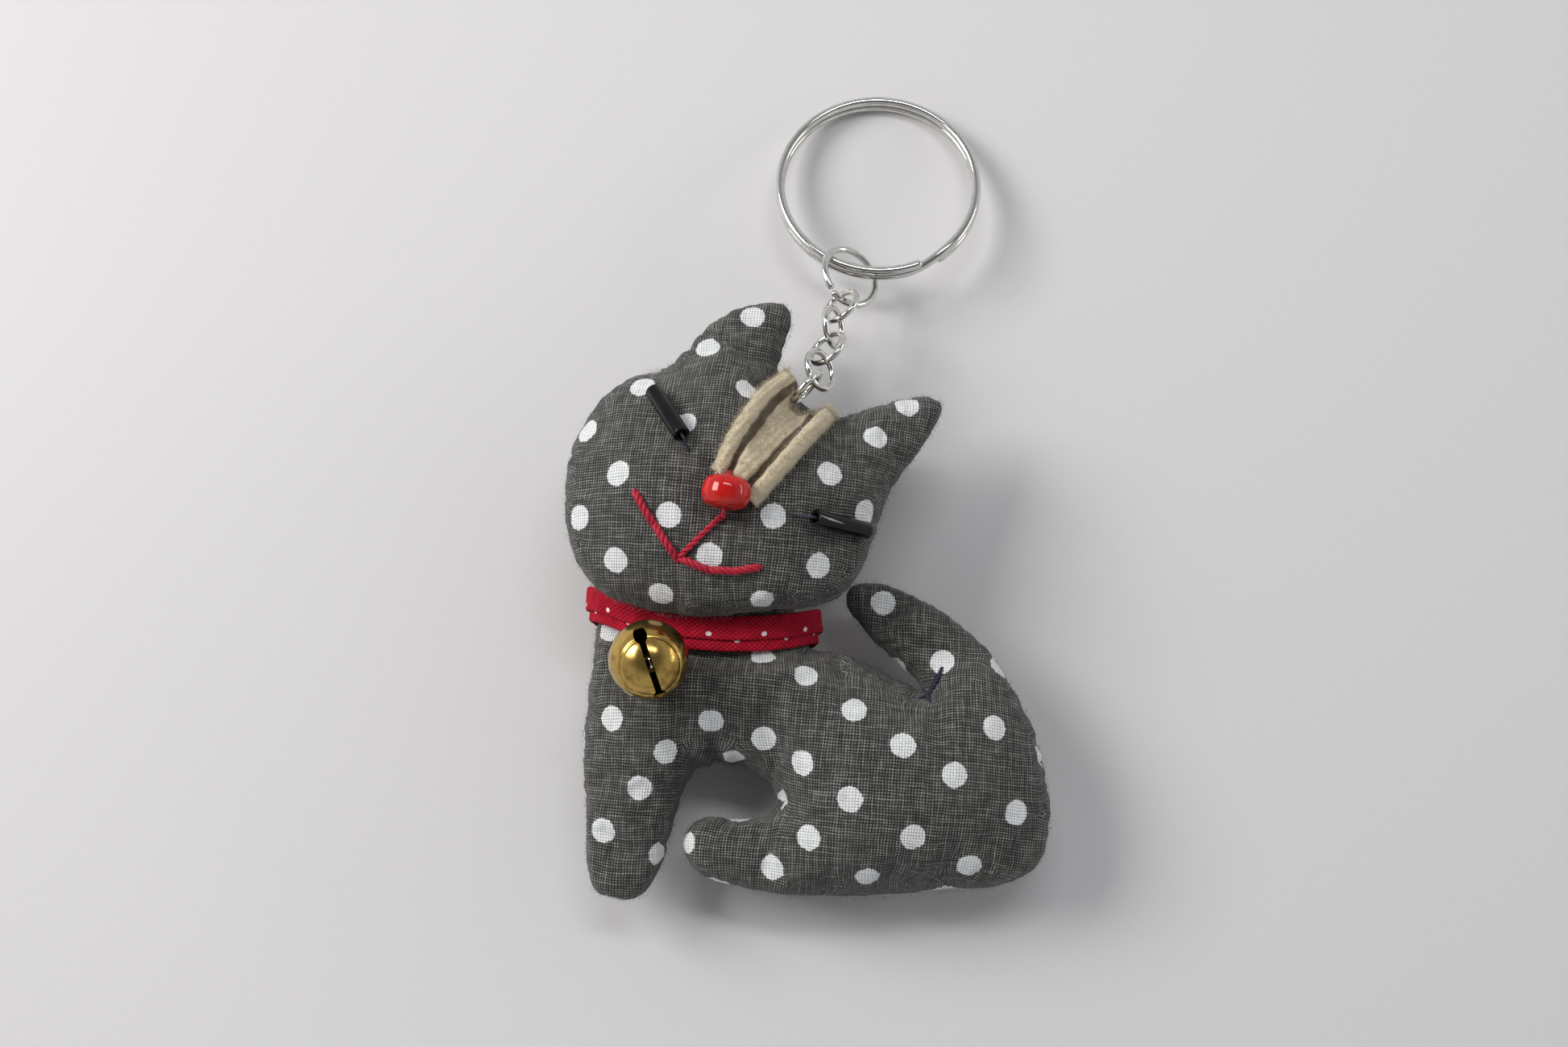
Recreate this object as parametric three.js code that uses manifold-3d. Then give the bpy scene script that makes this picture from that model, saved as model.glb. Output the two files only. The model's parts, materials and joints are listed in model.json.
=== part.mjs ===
// A plush keychain: a sitting cat, sewn from dotted cotton, on a short chain and a split ring.
// It lies on its back panel. Millimetres, +Z up out of the table, +Y towards the key ring.
import * as THREE from "three";
import { mergeVertices } from "three/addons/utils/BufferGeometryUtils.js";
import Module from "manifold-3d";

const wasm = await Module();
wasm.setup();

// Driving dimensions
const GAP = 0.3; // between pieces that touch
const CLOTH = 0.5; // thickness of a sewn panel
const SEAM_GAP = 0.3; // between the two panels of a cushion at their seam
const EDGE_STEP = 2.1; // spacing of the points along a cushion's outline
const FILL_STEP = 4.2; // spacing of the points inside it

const BODY = { seam: 8.5, seamSlope: 0, front: 1.1, back: 1.15 };
const FELT_HOLE = [-1.6, 9.5, 19.1]; // where the end ring goes through the felt
const HEAD = { seam: 15.2, seamSlope: -0.15, front: 1.08, back: 0.85 };
const STUFFING_INSET = 1.6;
const STUFFING_FILL = 0.77; // of the height inside the panels
// Rows and columns of the points inside a cushion, each way from the middle of the cat
const LATTICE = { half: 20, y: -15 };

// The plane where the head is pressed onto the neck: its height at pressY, and its slope along Y
const PRESS = { y: -17.5, z: 17.0, slope: -0.67 };

const COLLAR = { x: -13.6, halfX: 14.45, top: 7.0, bottom: 7.4, width: 4.4, thickness: 0.9 };
const COLLAR_SQUEEZE = 0.58; // of the cushion's height under the collar
const COLLAR_FLAT = 2.7; // half width of the squeezed strip
const COLLAR_EASE = 3.6; // over which the cushion swells again

const NOSE = { x: -10.2, y: -4.6, radius: 3.05, thickness: 4.0, rounding: 1.3, bore: 0.7, turn: 8 };
const EYE = { length: 8.8, radius: 1.1, bore: 0.65 };
const LEFT_EYE = [[-19.9, 10.0], [-15.6, 2.6]];
const RIGHT_EYE = [[0.2, -7.5], [8.0, -8.3]];
const EYE_THREAD = { radius: 0.18, beyond: 1.3 }; // how far it shows beyond each end of the bead
const NOSE_THREAD = { radius: 0.3, beyond: 1.0 };
const NECK_STITCH = { radius: 0.3, below: 0.7 }; // below the body's seam
const THREAD_LIFT = GAP + 0.1; // of a thread's end over the cloth
const BELL = { x: -19.9, y: -24.7, z: 22.4, radius: 5.0, wall: 0.5, tilt: 22, turn: 20 };
const BELL_SLOT = { length: 8.6, width: 0.8, flare: 0.85, turn: -62 };
const BELL_LOOP = { radius: 0.95, wire: 0.22, below: 1.45 }; // below the back of the bell
const BELL_THREAD = { radius: 0.2, halfWidth: 0.9 };
const PELLET_RADIUS = 1.4;

const WIRE = { ring: 0.6, jump: 0.47, link: 0.42, end: 0.45 };
const END_RING = { radius: 2.5, normal: [0.74, -0.67, 0] };
const JUMP_RING = {
  radius: 4.1, centre: [5.82, 28.95, 7.65], normal: [0.525, 0.217, 0.823],
  gapAt: 222, gap: 12, offset: 0.3, // where its ends meet, how wide and how far out of line
};
// The four links' planes are rolled round the chain's line.
const CHAIN = {
  atJumpRing: [4.81, 25.38, 9.25], // where the first link hangs on the jump ring
  rolls: [45, -60, 45, -45], clearance: 0.25,
};
const RING = {
  radius: 13.5, pitch: 1.35, tilt: 12.5, x: 9.9, y: 42.8,
  endsAt: -60, gap: 14, // where its two ends lie on either side of the crossover
};

// Closed outlines of the two cushions, as points on a smooth curve
const BODY_OUTLINE = [
  [-27.2, -17], [-28.3, -25], [-29.2, -34], [-28.7, -42], [-28.5, -49.5], [-27.4, -53],
  [-24.5, -54.2], [-21.2, -53.6], [-18.7, -50], [-17.6, -46], [-16.2, -41.5], [-14.3, -37.8],
  [-11, -37], [-7, -38.1], [-4.4, -40.3], [-5, -43], [-9, -43.5], [-13.6, -43.5],
  [-15.9, -45.5], [-15.9, -48.7], [-13.2, -51.3], [-8.5, -52.6], [-1, -53.7], [8, -53.9],
  [17, -53.1], [24.5, -52.4], [29.3, -50], [31.1, -45.5], [30.9, -38.5], [28.8, -30.8],
  [25, -24], [20, -18.6], [14.8, -15.1], [9.5, -12.9], [5.8, -13.3], [4.8, -15.4],
  [6.6, -18.6], [10.5, -22.8], [14.9, -27], [10.5, -24.8], [5, -22.3], [0.6, -21.5],
  [-0.9, -19], [-2.2, -14.5], [-6, -9], [-14, -6], [-22, -8.5],
];
const HEAD_OUTLINE = [
  [-2.6, 23.8], [-8.4, 23.4], [-12.9, 20.6], [-16, 17.2], [-19.7, 14.5], [-23, 13.3],
  [-26.6, 10.5], [-29.6, 6.2], [-31.2, 0.6], [-31.2, -5.8], [-29.5, -11.8], [-26.4, -15.6],
  [-22.5, -17.4], [-16.5, -18.7], [-11, -18.8], [-5.5, -18.1], [-0.3, -17.7], [3.8, -16.3],
  [6.5, -13.2], [8.4, -8.8], [9.6, -5.4], [11.3, -1.3], [14.3, 3], [17, 7.2],
  [17.7, 9.7], [16.4, 10.9], [12.3, 10.6], [7.6, 9.2], [3.2, 8.2], [-0.6, 10.1],
  [-3.6, 13.4], [-3.1, 17.2], [-2, 21],
];

const materials = {
  cotton: new THREE.MeshStandardMaterial({ color: 0x5d5b57, roughness: 0.95 }),
  stuffing: new THREE.MeshStandardMaterial({ color: 0xece9e2, roughness: 1 }),
  collar: new THREE.MeshStandardMaterial({ color: 0xc0102e, roughness: 0.9 }),
  felt: new THREE.MeshStandardMaterial({ color: 0xc8b996, roughness: 1 }),
  blackGlass: new THREE.MeshStandardMaterial({ color: 0x060608, roughness: 0.06 }),
  redGlass: new THREE.MeshStandardMaterial({ color: 0xd42a1c, roughness: 0.1 }),
  darkThread: new THREE.MeshStandardMaterial({ color: 0x1a1c2a, roughness: 0.8 }),
  redThread: new THREE.MeshStandardMaterial({ color: 0xb80d2a, roughness: 0.6 }),
  brass: new THREE.MeshStandardMaterial({ color: 0xa8862e, roughness: 0.3, metalness: 1 }),
  nickel: new THREE.MeshStandardMaterial({ color: 0xd2d0cb, roughness: 0.15, metalness: 1 }),
};

const plush = new THREE.Group();

function add(name, geometry, material) {
  const mesh = new THREE.Mesh(geometry, material);
  mesh.name = name;
  plush.add(mesh);
  return mesh;
}

// ---- plane geometry

function smoothOutline(points, step) {
  const curve = new THREE.CatmullRomCurve3(
    points.map(([x, y]) => new THREE.Vector3(x, y, 0)), true, "centripetal");
  const count = Math.round(curve.getLength() / step);
  return curve.getSpacedPoints(count).slice(0, -1).map((p) => [p.x, p.y]);
}

function insideOutline(outline, x, y) {
  let inside = false;
  outline.forEach(([ax, ay], i) => {
    const [bx, by] = outline[(i + 1) % outline.length];
    if (ay > y !== by > y && x < ((bx - ax) * (y - ay)) / (by - ay) + ax) inside = !inside;
  });
  return inside;
}

function distanceToOutline(outline, x, y) {
  let nearest = Infinity;
  outline.forEach(([ax, ay], i) => {
    const [bx, by] = outline[(i + 1) % outline.length];
    const dx = bx - ax, dy = by - ay;
    const t = THREE.MathUtils.clamp(((x - ax) * dx + (y - ay) * dy) / (dx * dx + dy * dy), 0, 1);
    nearest = Math.min(nearest, Math.hypot(x - ax - t * dx, y - ay - t * dy));
  });
  return nearest;
}

// Moves every point of a closed outline inwards. The outline runs anticlockwise.
function insetOutline(outline, distance) {
  const n = outline.length;
  return outline.map(([x, y], i) => {
    const [px, py] = outline[(i + n - 1) % n];
    const [qx, qy] = outline[(i + 1) % n];
    const length = Math.hypot(qx - px, qy - py);
    return [x - ((qy - py) / length) * distance, y + ((qx - px) / length) * distance];
  });
}

// Delaunay triangles of a set of points, by adding one point at a time.
function delaunay(points) {
  const far = 1e4;
  const all = [...points, [-far, -far], [far, -far], [0, far]];
  const n = points.length;
  const circle = (tri) => {
    const [[ax, ay], [bx, by], [cx, cy]] = tri.map((i) => all[i]);
    const d = 2 * (ax * (by - cy) + bx * (cy - ay) + cx * (ay - by));
    const a = ax * ax + ay * ay, b = bx * bx + by * by, c = cx * cx + cy * cy;
    const x = (a * (by - cy) + b * (cy - ay) + c * (ay - by)) / d;
    const y = (a * (cx - bx) + b * (ax - cx) + c * (bx - ax)) / d;
    return { tri, x, y, rr: (ax - x) ** 2 + (ay - y) ** 2 };
  };
  let circles = [circle([n, n + 1, n + 2])];
  points.forEach(([x, y], i) => {
    const hit = (c) => (c.x - x) ** 2 + (c.y - y) ** 2 < c.rr;
    const edges = new Map();
    circles.filter(hit).forEach(({ tri: [a, b, c] }) => {
      for (const [s, e] of [[a, b], [b, c], [c, a]]) {
        if (!edges.delete(`${e},${s}`)) edges.set(`${s},${e}`, [s, e]);
      }
    });
    circles = circles.filter((c) => !hit(c));
    for (const [s, e] of edges.values()) circles.push(circle([s, e, i]));
  });
  return circles.map((c) => c.tri).filter((tri) => tri.every((i) => i < n));
}

// ---- cushions

// A triangle mesh that fills an outline, with the height that an inflated cushion has over it:
// the root of the solution of a Poisson equation, so that narrow parts stay thin.
function cushionPlan(outline, fillStep, extraPoints = []) {
  const points = outline.map((p) => [...p]);
  const edgeCount = points.length;
  points.push(...extraPoints.filter(([x, y]) => insideOutline(outline, x, y)
    && distanceToOutline(outline, x, y) > 0.3 * fillStep));
  const fixedCount = points.length;
  const rowStep = fillStep * Math.sin(Math.PI / 3);
  for (let row = -LATTICE.half; row <= LATTICE.half; row += 1) {
    for (let column = -LATTICE.half; column <= LATTICE.half; column += 1) {
      const x = (column + (row % 2 === 0 ? 0 : 0.5)) * fillStep;
      const y = LATTICE.y + row * rowStep;
      const clear = points.slice(edgeCount, fixedCount)
        .every(([px, py]) => Math.hypot(px - x, py - y) > 0.62 * fillStep);
      if (clear && insideOutline(outline, x, y)
        && distanceToOutline(outline, x, y) > 0.5 * fillStep) points.push([x, y]);
    }
  }
  const triangles = delaunay(points).filter((tri) => {
    const x = (points[tri[0]][0] + points[tri[1]][0] + points[tri[2]][0]) / 3;
    const y = (points[tri[0]][1] + points[tri[1]][1] + points[tri[2]][1]) / 3;
    return insideOutline(outline, x, y);
  });
  const neighbours = points.map(() => new Set());
  triangles.forEach(([a, b, c]) => {
    neighbours[a].add(b).add(c);
    neighbours[b].add(a).add(c);
    neighbours[c].add(a).add(b);
  });
  const level = points.map(() => 0);
  for (let pass = 0; pass < 400; pass += 1) {
    for (let i = edgeCount; i < points.length; i += 1) {
      let sum = 0, spread = 0;
      neighbours[i].forEach((j) => {
        sum += level[j];
        spread += (points[i][0] - points[j][0]) ** 2 + (points[i][1] - points[j][1]) ** 2;
      });
      level[i] = (sum + spread / 4) / neighbours[i].size;
    }
  }
  return { points, edgeCount, triangles, rise: level.map(Math.sqrt) };
}

// A closed solid over a cushion's plan, between two heights at each point.
function slab(plan, top, bottom) {
  const { points, edgeCount, triangles } = plan;
  const n = points.length;
  const positions = [
    ...points.flatMap(([x, y], i) => [x, y, top[i]]),
    ...points.flatMap(([x, y], i) => [x, y, bottom[i]]),
  ];
  const index = triangles.flatMap(([a, b, c]) => {
    const turn = (points[b][0] - points[a][0]) * (points[c][1] - points[a][1])
      - (points[c][0] - points[a][0]) * (points[b][1] - points[a][1]);
    const [p, q] = turn > 0 ? [b, c] : [c, b];
    return [a, p, q, n + a, n + q, n + p];
  });
  for (let i = 0; i < edgeCount; i += 1) {
    const j = (i + 1) % edgeCount;
    index.push(n + i, n + j, j, n + i, j, i);
  }
  const geometry = new THREE.BufferGeometry();
  geometry.setAttribute("position", new THREE.Float32BufferAttribute(positions, 3));
  geometry.setIndex(index);
  geometry.computeVertexNormals();
  return geometry;
}

// The height of a surface given at a plan's points, at any place over it.
function heightOver(plan, heights, x, y) {
  let found = -Infinity;
  for (const tri of plan.triangles) {
    const [[ax, ay], [bx, by], [cx, cy]] = tri.map((i) => plan.points[i]);
    const area = (bx - ax) * (cy - ay) - (cx - ax) * (by - ay);
    const u = ((bx - x) * (cy - y) - (cx - x) * (by - y)) / area;
    const v = ((cx - x) * (ay - y) - (ax - x) * (cy - y)) / area;
    if (u < -1e-6 || v < -1e-6 || u + v > 1 + 1e-6) continue;
    const height = u * heights[tri[0]] + v * heights[tri[1]] + (1 - u - v) * heights[tri[2]];
    found = Math.max(found, height);
  }
  return found;
}

const collarY = (x) => -20.7 + 0.015 * (x + 10) ** 2;
const pressZ = (y) => PRESS.z + (y - PRESS.y) * PRESS.slope;

// How far the collar lets the body cushion swell at a place
function collarFactor(x, y) {
  const away = Math.abs(y - collarY(x)) - COLLAR_FLAT;
  return THREE.MathUtils.lerp(COLLAR_SQUEEZE, 1, THREE.MathUtils.smoothstep(away, 0, COLLAR_EASE));
}

// Dents that the nose bead and the end ring make in the head: place, radius, share of the height left
const HEAD_DENTS = [
  { x: NOSE.x, y: NOSE.y, radius: 3.2, depth: 0.14 },
  { x: -1.1, y: 9.4, radius: 3.4, depth: 0.97 },
];
function dentFactor(x, y) {
  return HEAD_DENTS.reduce((factor, dent) => {
    const away = Math.hypot(x - dent.x, y - dent.y) / dent.radius;
    return factor * (1 - dent.depth * Math.exp(-away * away));
  }, 1);
}

const collarRows = [];
for (let x = -26.5; x < 0; x += 3.3) {
  for (const offset of [-COLLAR_FLAT, 0, COLLAR_FLAT]) collarRows.push([x, collarY(x) + offset]);
}
const dentPoints = HEAD_DENTS.flatMap(({ x, y, radius }) => [
  [x, y],
  ...[0, 1, 2, 3, 4, 5].map((k) => [
    x + radius * Math.cos((k * Math.PI) / 3), y + radius * Math.sin((k * Math.PI) / 3)]),
]);

function makeCushion(name, size, outlinePoints, extraPoints, squeeze, limitTop, limitBottom) {
  const outline = smoothOutline(outlinePoints, EDGE_STEP);
  const plan = cushionPlan(outline, FILL_STEP, extraPoints);
  const inner = cushionPlan(
    insetOutline(smoothOutline(outlinePoints, 1.5 * EDGE_STEP), STUFFING_INSET),
    1.3 * FILL_STEP);
  const heights = (of, share) => {
    const seam = of.points.map(([, y]) => size.seam + size.seamSlope * y);
    const rise = of.points.map(([x, y], i) => of.rise[i] * squeeze(x, y) * share);
    const front = rise.map((r, i) => limitTop(of.points[i][1], seam[i] + size.front * r));
    const back = rise.map((r, i) => limitBottom(of.points[i][1], seam[i] - size.back * r));
    return { seam, front, back };
  };
  const skin = heights(plan, 1);
  const under = heights(plan, 0.94);
  const half = SEAM_GAP / 2;
  const frontTop = skin.front.map((z) => z + half + CLOTH);
  const backBottom = skin.back.map((z) => Math.max(0, z - half - CLOTH));
  const frontUnder = under.front.map((z, i) => Math.min(z + half, frontTop[i] - CLOTH));
  const backUnder = under.back.map((z, i) => Math.max(z - half, backBottom[i] + CLOTH));
  add(`${name}_front_panel`, slab(plan, frontTop, frontUnder), materials.cotton);
  add(`${name}_back_panel`, slab(plan, backUnder, backBottom), materials.cotton);
  const filling = heights(inner, STUFFING_FILL);
  const fillTop = filling.front.map((z, i) => Math.max(z - GAP, filling.seam[i] + 0.1));
  const fillBottom = filling.back.map((z, i) =>
    Math.min(Math.max(z + GAP, CLOTH + 2 * GAP), filling.seam[i] - 0.1));
  add(`${name}_stuffing`, slab(inner, fillTop, fillBottom), materials.stuffing);
  return { top: (x, y) => heightOver(plan, frontTop, x, y) };
}

const trim = SEAM_GAP / 2 + CLOTH + GAP / 2;
const body = makeCushion(
  "body", BODY, BODY_OUTLINE, collarRows, collarFactor,
  (y, z) => (y > PRESS.y - 3 ? Math.max(Math.min(z, pressZ(y) - trim), BODY.seam) : z),
  (y, z) => z);
const head = makeCushion(
  "head", HEAD, HEAD_OUTLINE, dentPoints, dentFactor,
  (y, z) => z,
  (y, z) => Math.min(Math.max(z, pressZ(y) + trim), HEAD.seam + HEAD.seamSlope * y));

// ---- sweeps

function tube(points, radius, sides = 8, steps = 24, curve = null) {
  const path = curve ?? new THREE.CatmullRomCurve3(points, false, "centripetal");
  const section = new THREE.Shape().absellipse(0, 0, radius, radius, 0, 2 * Math.PI);
  return new THREE.ExtrudeGeometry(
    section, { steps, curveSegments: sides / 2, bevelEnabled: false, extrudePath: path });
}

// Points along straight stretches over a cushion's front, lifted off the highest place within reach.
function overSurface(surface, corners, reach, lift, step = 1.6) {
  const highest = (x, y) => Math.max(surface(x, y),
    ...[-1, 1].flatMap((side) => [
      surface(x + side * reach, y), surface(x, y + side * reach)]));
  const points = [];
  corners.slice(1).forEach(([bx, by], k) => {
    const [ax, ay] = corners[k];
    const count = Math.max(2, Math.round(Math.hypot(bx - ax, by - ay) / step));
    for (let i = k === 0 ? 0 : 1; i <= count; i += 1) {
      const x = ax + ((bx - ax) * i) / count, y = ay + ((by - ay) * i) / count;
      points.push(new THREE.Vector3(x, y, highest(x, y) + lift));
    }
  });
  return points;
}

function stitch(name, surface, corners, radius, material) {
  const points = overSurface(surface, corners, radius, radius + GAP);
  add(name, tube(points, radius, 6, 2 * points.length), material);
}

// ---- collar

function collarBand() {
  const steps = 44;
  const positions = [];
  const index = [];
  const corner = [[0, -1], [1, -1], [1, 1], [0, 1]];
  for (let i = 0; i < steps; i += 1) {
    const angle = (2 * Math.PI * i) / steps;
    const high = Math.sin(angle) > 0 ? COLLAR.top : COLLAR.bottom;
    const x = COLLAR.x + COLLAR.halfX * Math.cos(angle), z = BODY.seam + high * Math.sin(angle);
    const normal = new THREE.Vector2(high * Math.cos(angle), COLLAR.halfX * Math.sin(angle));
    normal.normalize();
    corner.forEach(([out, side]) => positions.push(
      x + normal.x * out * COLLAR.thickness,
      collarY(x) + (side * COLLAR.width) / 2,
      z + normal.y * out * COLLAR.thickness));
    const next = (i + 1) % steps;
    for (let k = 0; k < 4; k += 1) {
      const a = 4 * i + k, b = 4 * i + ((k + 1) % 4);
      const c = 4 * next + ((k + 1) % 4), d = 4 * next + k;
      index.push(a, b, c, a, c, d);
    }
  }
  const geometry = new THREE.BufferGeometry();
  geometry.setAttribute("position", new THREE.Float32BufferAttribute(positions, 3));
  geometry.setIndex(index);
  geometry.computeVertexNormals();
  return geometry;
}
add("collar_band", collarBand(), materials.collar);

// ---- beads

// A bored bead turned about its own length
function beadGeometry(profile) {
  return new THREE.LatheGeometry(profile.map(([r, z]) => new THREE.Vector2(r, z)), 16);
}

function boredTube(length, radius, bore) {
  const half = length / 2;
  return beadGeometry([[bore, -half], [radius, -half], [radius, half], [bore, half], [bore, -half]]);
}

// Lays a bead of given length on the head between two places, and runs a thread through it.
function layEye(side, from, to) {
  const a = new THREE.Vector3(...from, head.top(...from));
  const b = new THREE.Vector3(...to, head.top(...to));
  const middle = a.clone().lerp(b, 0.5);
  const sagitta = head.top(middle.x, middle.y) - middle.z;
  const along = b.clone().sub(a).normalize();
  middle.z += Math.max(0, sagitta) + EYE.radius + 2 * GAP;
  const bead = add(`${side}_eye_bead`,
    boredTube(EYE.length, EYE.radius, EYE.bore), materials.blackGlass);
  bead.quaternion.setFromUnitVectors(new THREE.Vector3(0, 1, 0), along);
  bead.position.copy(middle);
  const at = (s) => middle.clone().addScaledVector(along, s);
  const half = EYE.length / 2;
  const ends = [-1, 1].map((sign) => {
    const end = at(sign * (half + EYE_THREAD.beyond));
    end.z = head.top(end.x, end.y) + EYE_THREAD.radius + THREAD_LIFT;
    return end;
  });
  const mouth = half + 2 * GAP;
  const points = [ends[0], at(-mouth), at(-half / 2), at(half / 2), at(mouth), ends[1]];
  add(`${side}_eye_thread`, tube(points, EYE_THREAD.radius, 6, 32), materials.darkThread);
}
layEye("left", ...LEFT_EYE);
layEye("right", ...RIGHT_EYE);

// The nose bead stands on its rim, with its bore in line with the felt strip and the stitch.
const noseTurn = THREE.MathUtils.degToRad(-NOSE.turn);
const noseAxis = new THREE.Vector3(-Math.sin(noseTurn), Math.cos(noseTurn), 0);
const noseCentre = new THREE.Vector3(
  NOSE.x, NOSE.y, head.top(NOSE.x, NOSE.y) + NOSE.radius + GAP + 0.15);
{
  const half = NOSE.thickness / 2;
  const round = NOSE.rounding;
  const profile = [[NOSE.bore, -half], [NOSE.radius - round, -half]];
  for (let k = 1; k <= 3; k += 1) {
    const angle = (k * Math.PI) / 6;
    profile.push([
      NOSE.radius - round + round * Math.sin(angle), -half + round * (1 - Math.cos(angle))]);
  }
  const upper = profile.map(([r, z]) => [r, -z]).reverse();
  const bead = add("nose_bead",
    beadGeometry([...profile, ...upper, profile[0]]), materials.redGlass);
  bead.quaternion.setFromUnitVectors(new THREE.Vector3(0, 1, 0), noseAxis);
  bead.position.copy(noseCentre);
  const at = (s) => noseCentre.clone().addScaledVector(noseAxis, s);
  const ends = [-1, 1].map((sign) => {
    const end = at(sign * (half + NOSE_THREAD.beyond));
    end.z = head.top(end.x, end.y) + NOSE_THREAD.radius + THREAD_LIFT;
    return end;
  });
  add("nose_thread",
    tube([ends[0], at(-half - 0.2), at(0), at(half + 0.2), ends[1]], NOSE_THREAD.radius, 6, 20),
    materials.redThread);
}

// ---- embroidery

stitch("nose_stitch", head.top, [[-11.9, -8.6], [-16.2, -12.0]], 0.4, materials.redThread);
stitch("mouth_stitch_left", head.top,
  [[-21.7, -3.9], [-19.3, -8.0], [-17.3, -11.3]], 0.5, materials.redThread);
stitch("mouth_stitch_right", head.top,
  [[-15.6, -13.0], [-12.4, -13.9], [-6.1, -13.4]], 0.5, materials.redThread);
stitch("tail_tack_stitch", body.top, [[17.4, -24.2], [15.6, -28.2]], 0.25, materials.darkThread);

// The thread that sews the head to the neck runs in the crease round the end of the neck.
{
  const crease = [[-27.6, -13.2], [-23.6, -7.6], [-14.2, -4.6], [-4.8, -8.0], [-1.0, -13.4]];
  const points = crease.map(([x, y]) => new THREE.Vector3(x, y, BODY.seam - NECK_STITCH.below));
  add("neck_stitch", tube(points, NECK_STITCH.radius, 6, 24), materials.darkThread);
}

// ---- felt strip

const FELT_RADIUS = 1.05;
function feltFold(name, corners) {
  const points = overSurface(head.top, corners, FELT_RADIUS, FELT_RADIUS + GAP, 2.4);
  add(name, tube(points, FELT_RADIUS, 8, 16), materials.felt);
}
feltFold("felt_left_fold", [[-11.5, -0.1], [-7.0, 6.8], [-3.6, 12.1]]);
feltFold("felt_right_fold", [[-6.3, -4.4], [-2.2, 1.0], [3.0, 7.3]]);

// The middle fold is a flat lobe, with the hole that the end ring hangs in near its free end.
const LOBE = { thickness: 0.8, from: [-7.1, 0.8], beyondHole: 2.4, lift: 1.75 };
{
  const [holeX, holeY, holeZ] = FELT_HOLE;
  const along = new THREE.Vector2(holeX - LOBE.from[0], holeY - LOBE.from[1]);
  const length = along.length() + LOBE.beyondHole;
  along.normalize();
  const shape = new THREE.Shape();
  shape.moveTo(0, -0.6);
  shape.quadraticCurveTo(length * 0.45, -1.5, length * 0.8, -1.7);
  shape.quadraticCurveTo(length, -1.5, length, 0);
  shape.quadraticCurveTo(length, 1.5, length * 0.8, 1.7);
  shape.quadraticCurveTo(length * 0.45, 1.5, 0, 0.6);
  shape.closePath();
  shape.holes.push(new THREE.Path().absellipse(
    length - LOBE.beyondHole, 0, 0.95, 0.95, 0, 2 * Math.PI, true));
  const lobe = new THREE.ExtrudeGeometry(
    shape, { depth: LOBE.thickness, curveSegments: 8, bevelEnabled: false });
  // The lobe lies on the head and runs out level over the crown.
  const onHead = (distance) => LOBE.lift + head.top(
    LOBE.from[0] + along.x * distance, LOBE.from[1] + along.y * distance);
  const level = (distance) => Math.max(
    holeZ - LOBE.thickness / 2, distance < length - 2 * LOBE.beyondHole ? onHead(distance) : 0);
  const place = lobe.getAttribute("position");
  for (let i = 0; i < place.count; i += 1) {
    const distance = place.getX(i), side = place.getY(i);
    place.setXYZ(i, LOBE.from[0] + along.x * distance - along.y * side,
      LOBE.from[1] + along.y * distance + along.x * side, level(distance) + place.getZ(i));
  }
  add("felt_centre_fold", lobe, materials.felt);
}

// ---- bell

const bellTilt = THREE.MathUtils.degToRad(BELL.tilt);
const bellTurn = THREE.MathUtils.degToRad(BELL.turn);
// The mouth of the bell faces up and a little away from the collar.
const bellAxis = new THREE.Vector3(
  Math.sin(bellTilt) * Math.sin(bellTurn), -Math.sin(bellTilt) * Math.cos(bellTurn),
  Math.cos(bellTilt));
const bellCentre = new THREE.Vector3(BELL.x, BELL.y, BELL.z);
const bellLoopCentre = bellCentre.clone().addScaledVector(bellAxis, -BELL.radius - BELL_LOOP.below);

function domeGeometry(sign) {
  const outer = [];
  const inner = [];
  const rings = 7;
  for (let k = 0; k <= rings; k += 1) {
    const angle = (k / rings) * (Math.PI / 2 - 0.03);
    outer.push([BELL.radius * Math.sin(angle), BELL.radius * Math.cos(angle)]);
    const r = BELL.radius - BELL.wall;
    inner.unshift([r * Math.sin(angle), r * Math.cos(angle)]);
  }
  const profile = [...outer, ...inner].map(([r, y]) => new THREE.Vector2(r, sign * y));
  if (sign > 0) profile.reverse();
  return new THREE.LatheGeometry(profile, 28);
}

function toManifold(geometry) {
  const bare = geometry.clone();
  bare.deleteAttribute("normal");
  bare.deleteAttribute("uv");
  const merged = mergeVertices(bare, 1e-3);
  return new wasm.Manifold(new wasm.Mesh({
    numProp: 3,
    vertProperties: merged.attributes.position.array,
    triVerts: new Uint32Array(merged.index.array),
  }));
}

function fromManifold(solid) {
  const mesh = solid.getMesh();
  const geometry = new THREE.BufferGeometry();
  geometry.setAttribute("position", new THREE.BufferAttribute(mesh.vertProperties, 3));
  geometry.setIndex(new THREE.BufferAttribute(mesh.triVerts, 1));
  geometry.computeVertexNormals();
  return geometry;
}

function bellFront() {
  let solid = toManifold(domeGeometry(1));
  const { length, width, flare: radius } = BELL_SLOT;
  const slot = new THREE.BoxGeometry(length, BELL.radius, width).translate(0, 0.7 * BELL.radius, 0);
  solid = solid.subtract(toManifold(slot));
  for (const x of [0.3 - length / 2, length / 2 - 0.3]) {
    const flare = new THREE.CylinderGeometry(radius, radius, BELL.radius, 12)
      .translate(x, 0.7 * BELL.radius, 0);
    solid = solid.subtract(toManifold(flare));
  }
  return fromManifold(solid);
}

const bellFrame = new THREE.Quaternion().setFromUnitVectors(new THREE.Vector3(0, 1, 0), bellAxis);
// The slot runs from the upper left to the lower right.
bellFrame.multiply(new THREE.Quaternion().setFromAxisAngle(
  new THREE.Vector3(0, 1, 0), THREE.MathUtils.degToRad(BELL_SLOT.turn)));
for (const [name, geometry] of [
  ["bell_front_shell", bellFront()], ["bell_back_shell", domeGeometry(-1)]]) {
  const shell = add(name, geometry, materials.brass);
  shell.quaternion.copy(bellFrame);
  shell.position.copy(bellCentre);
}
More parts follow.
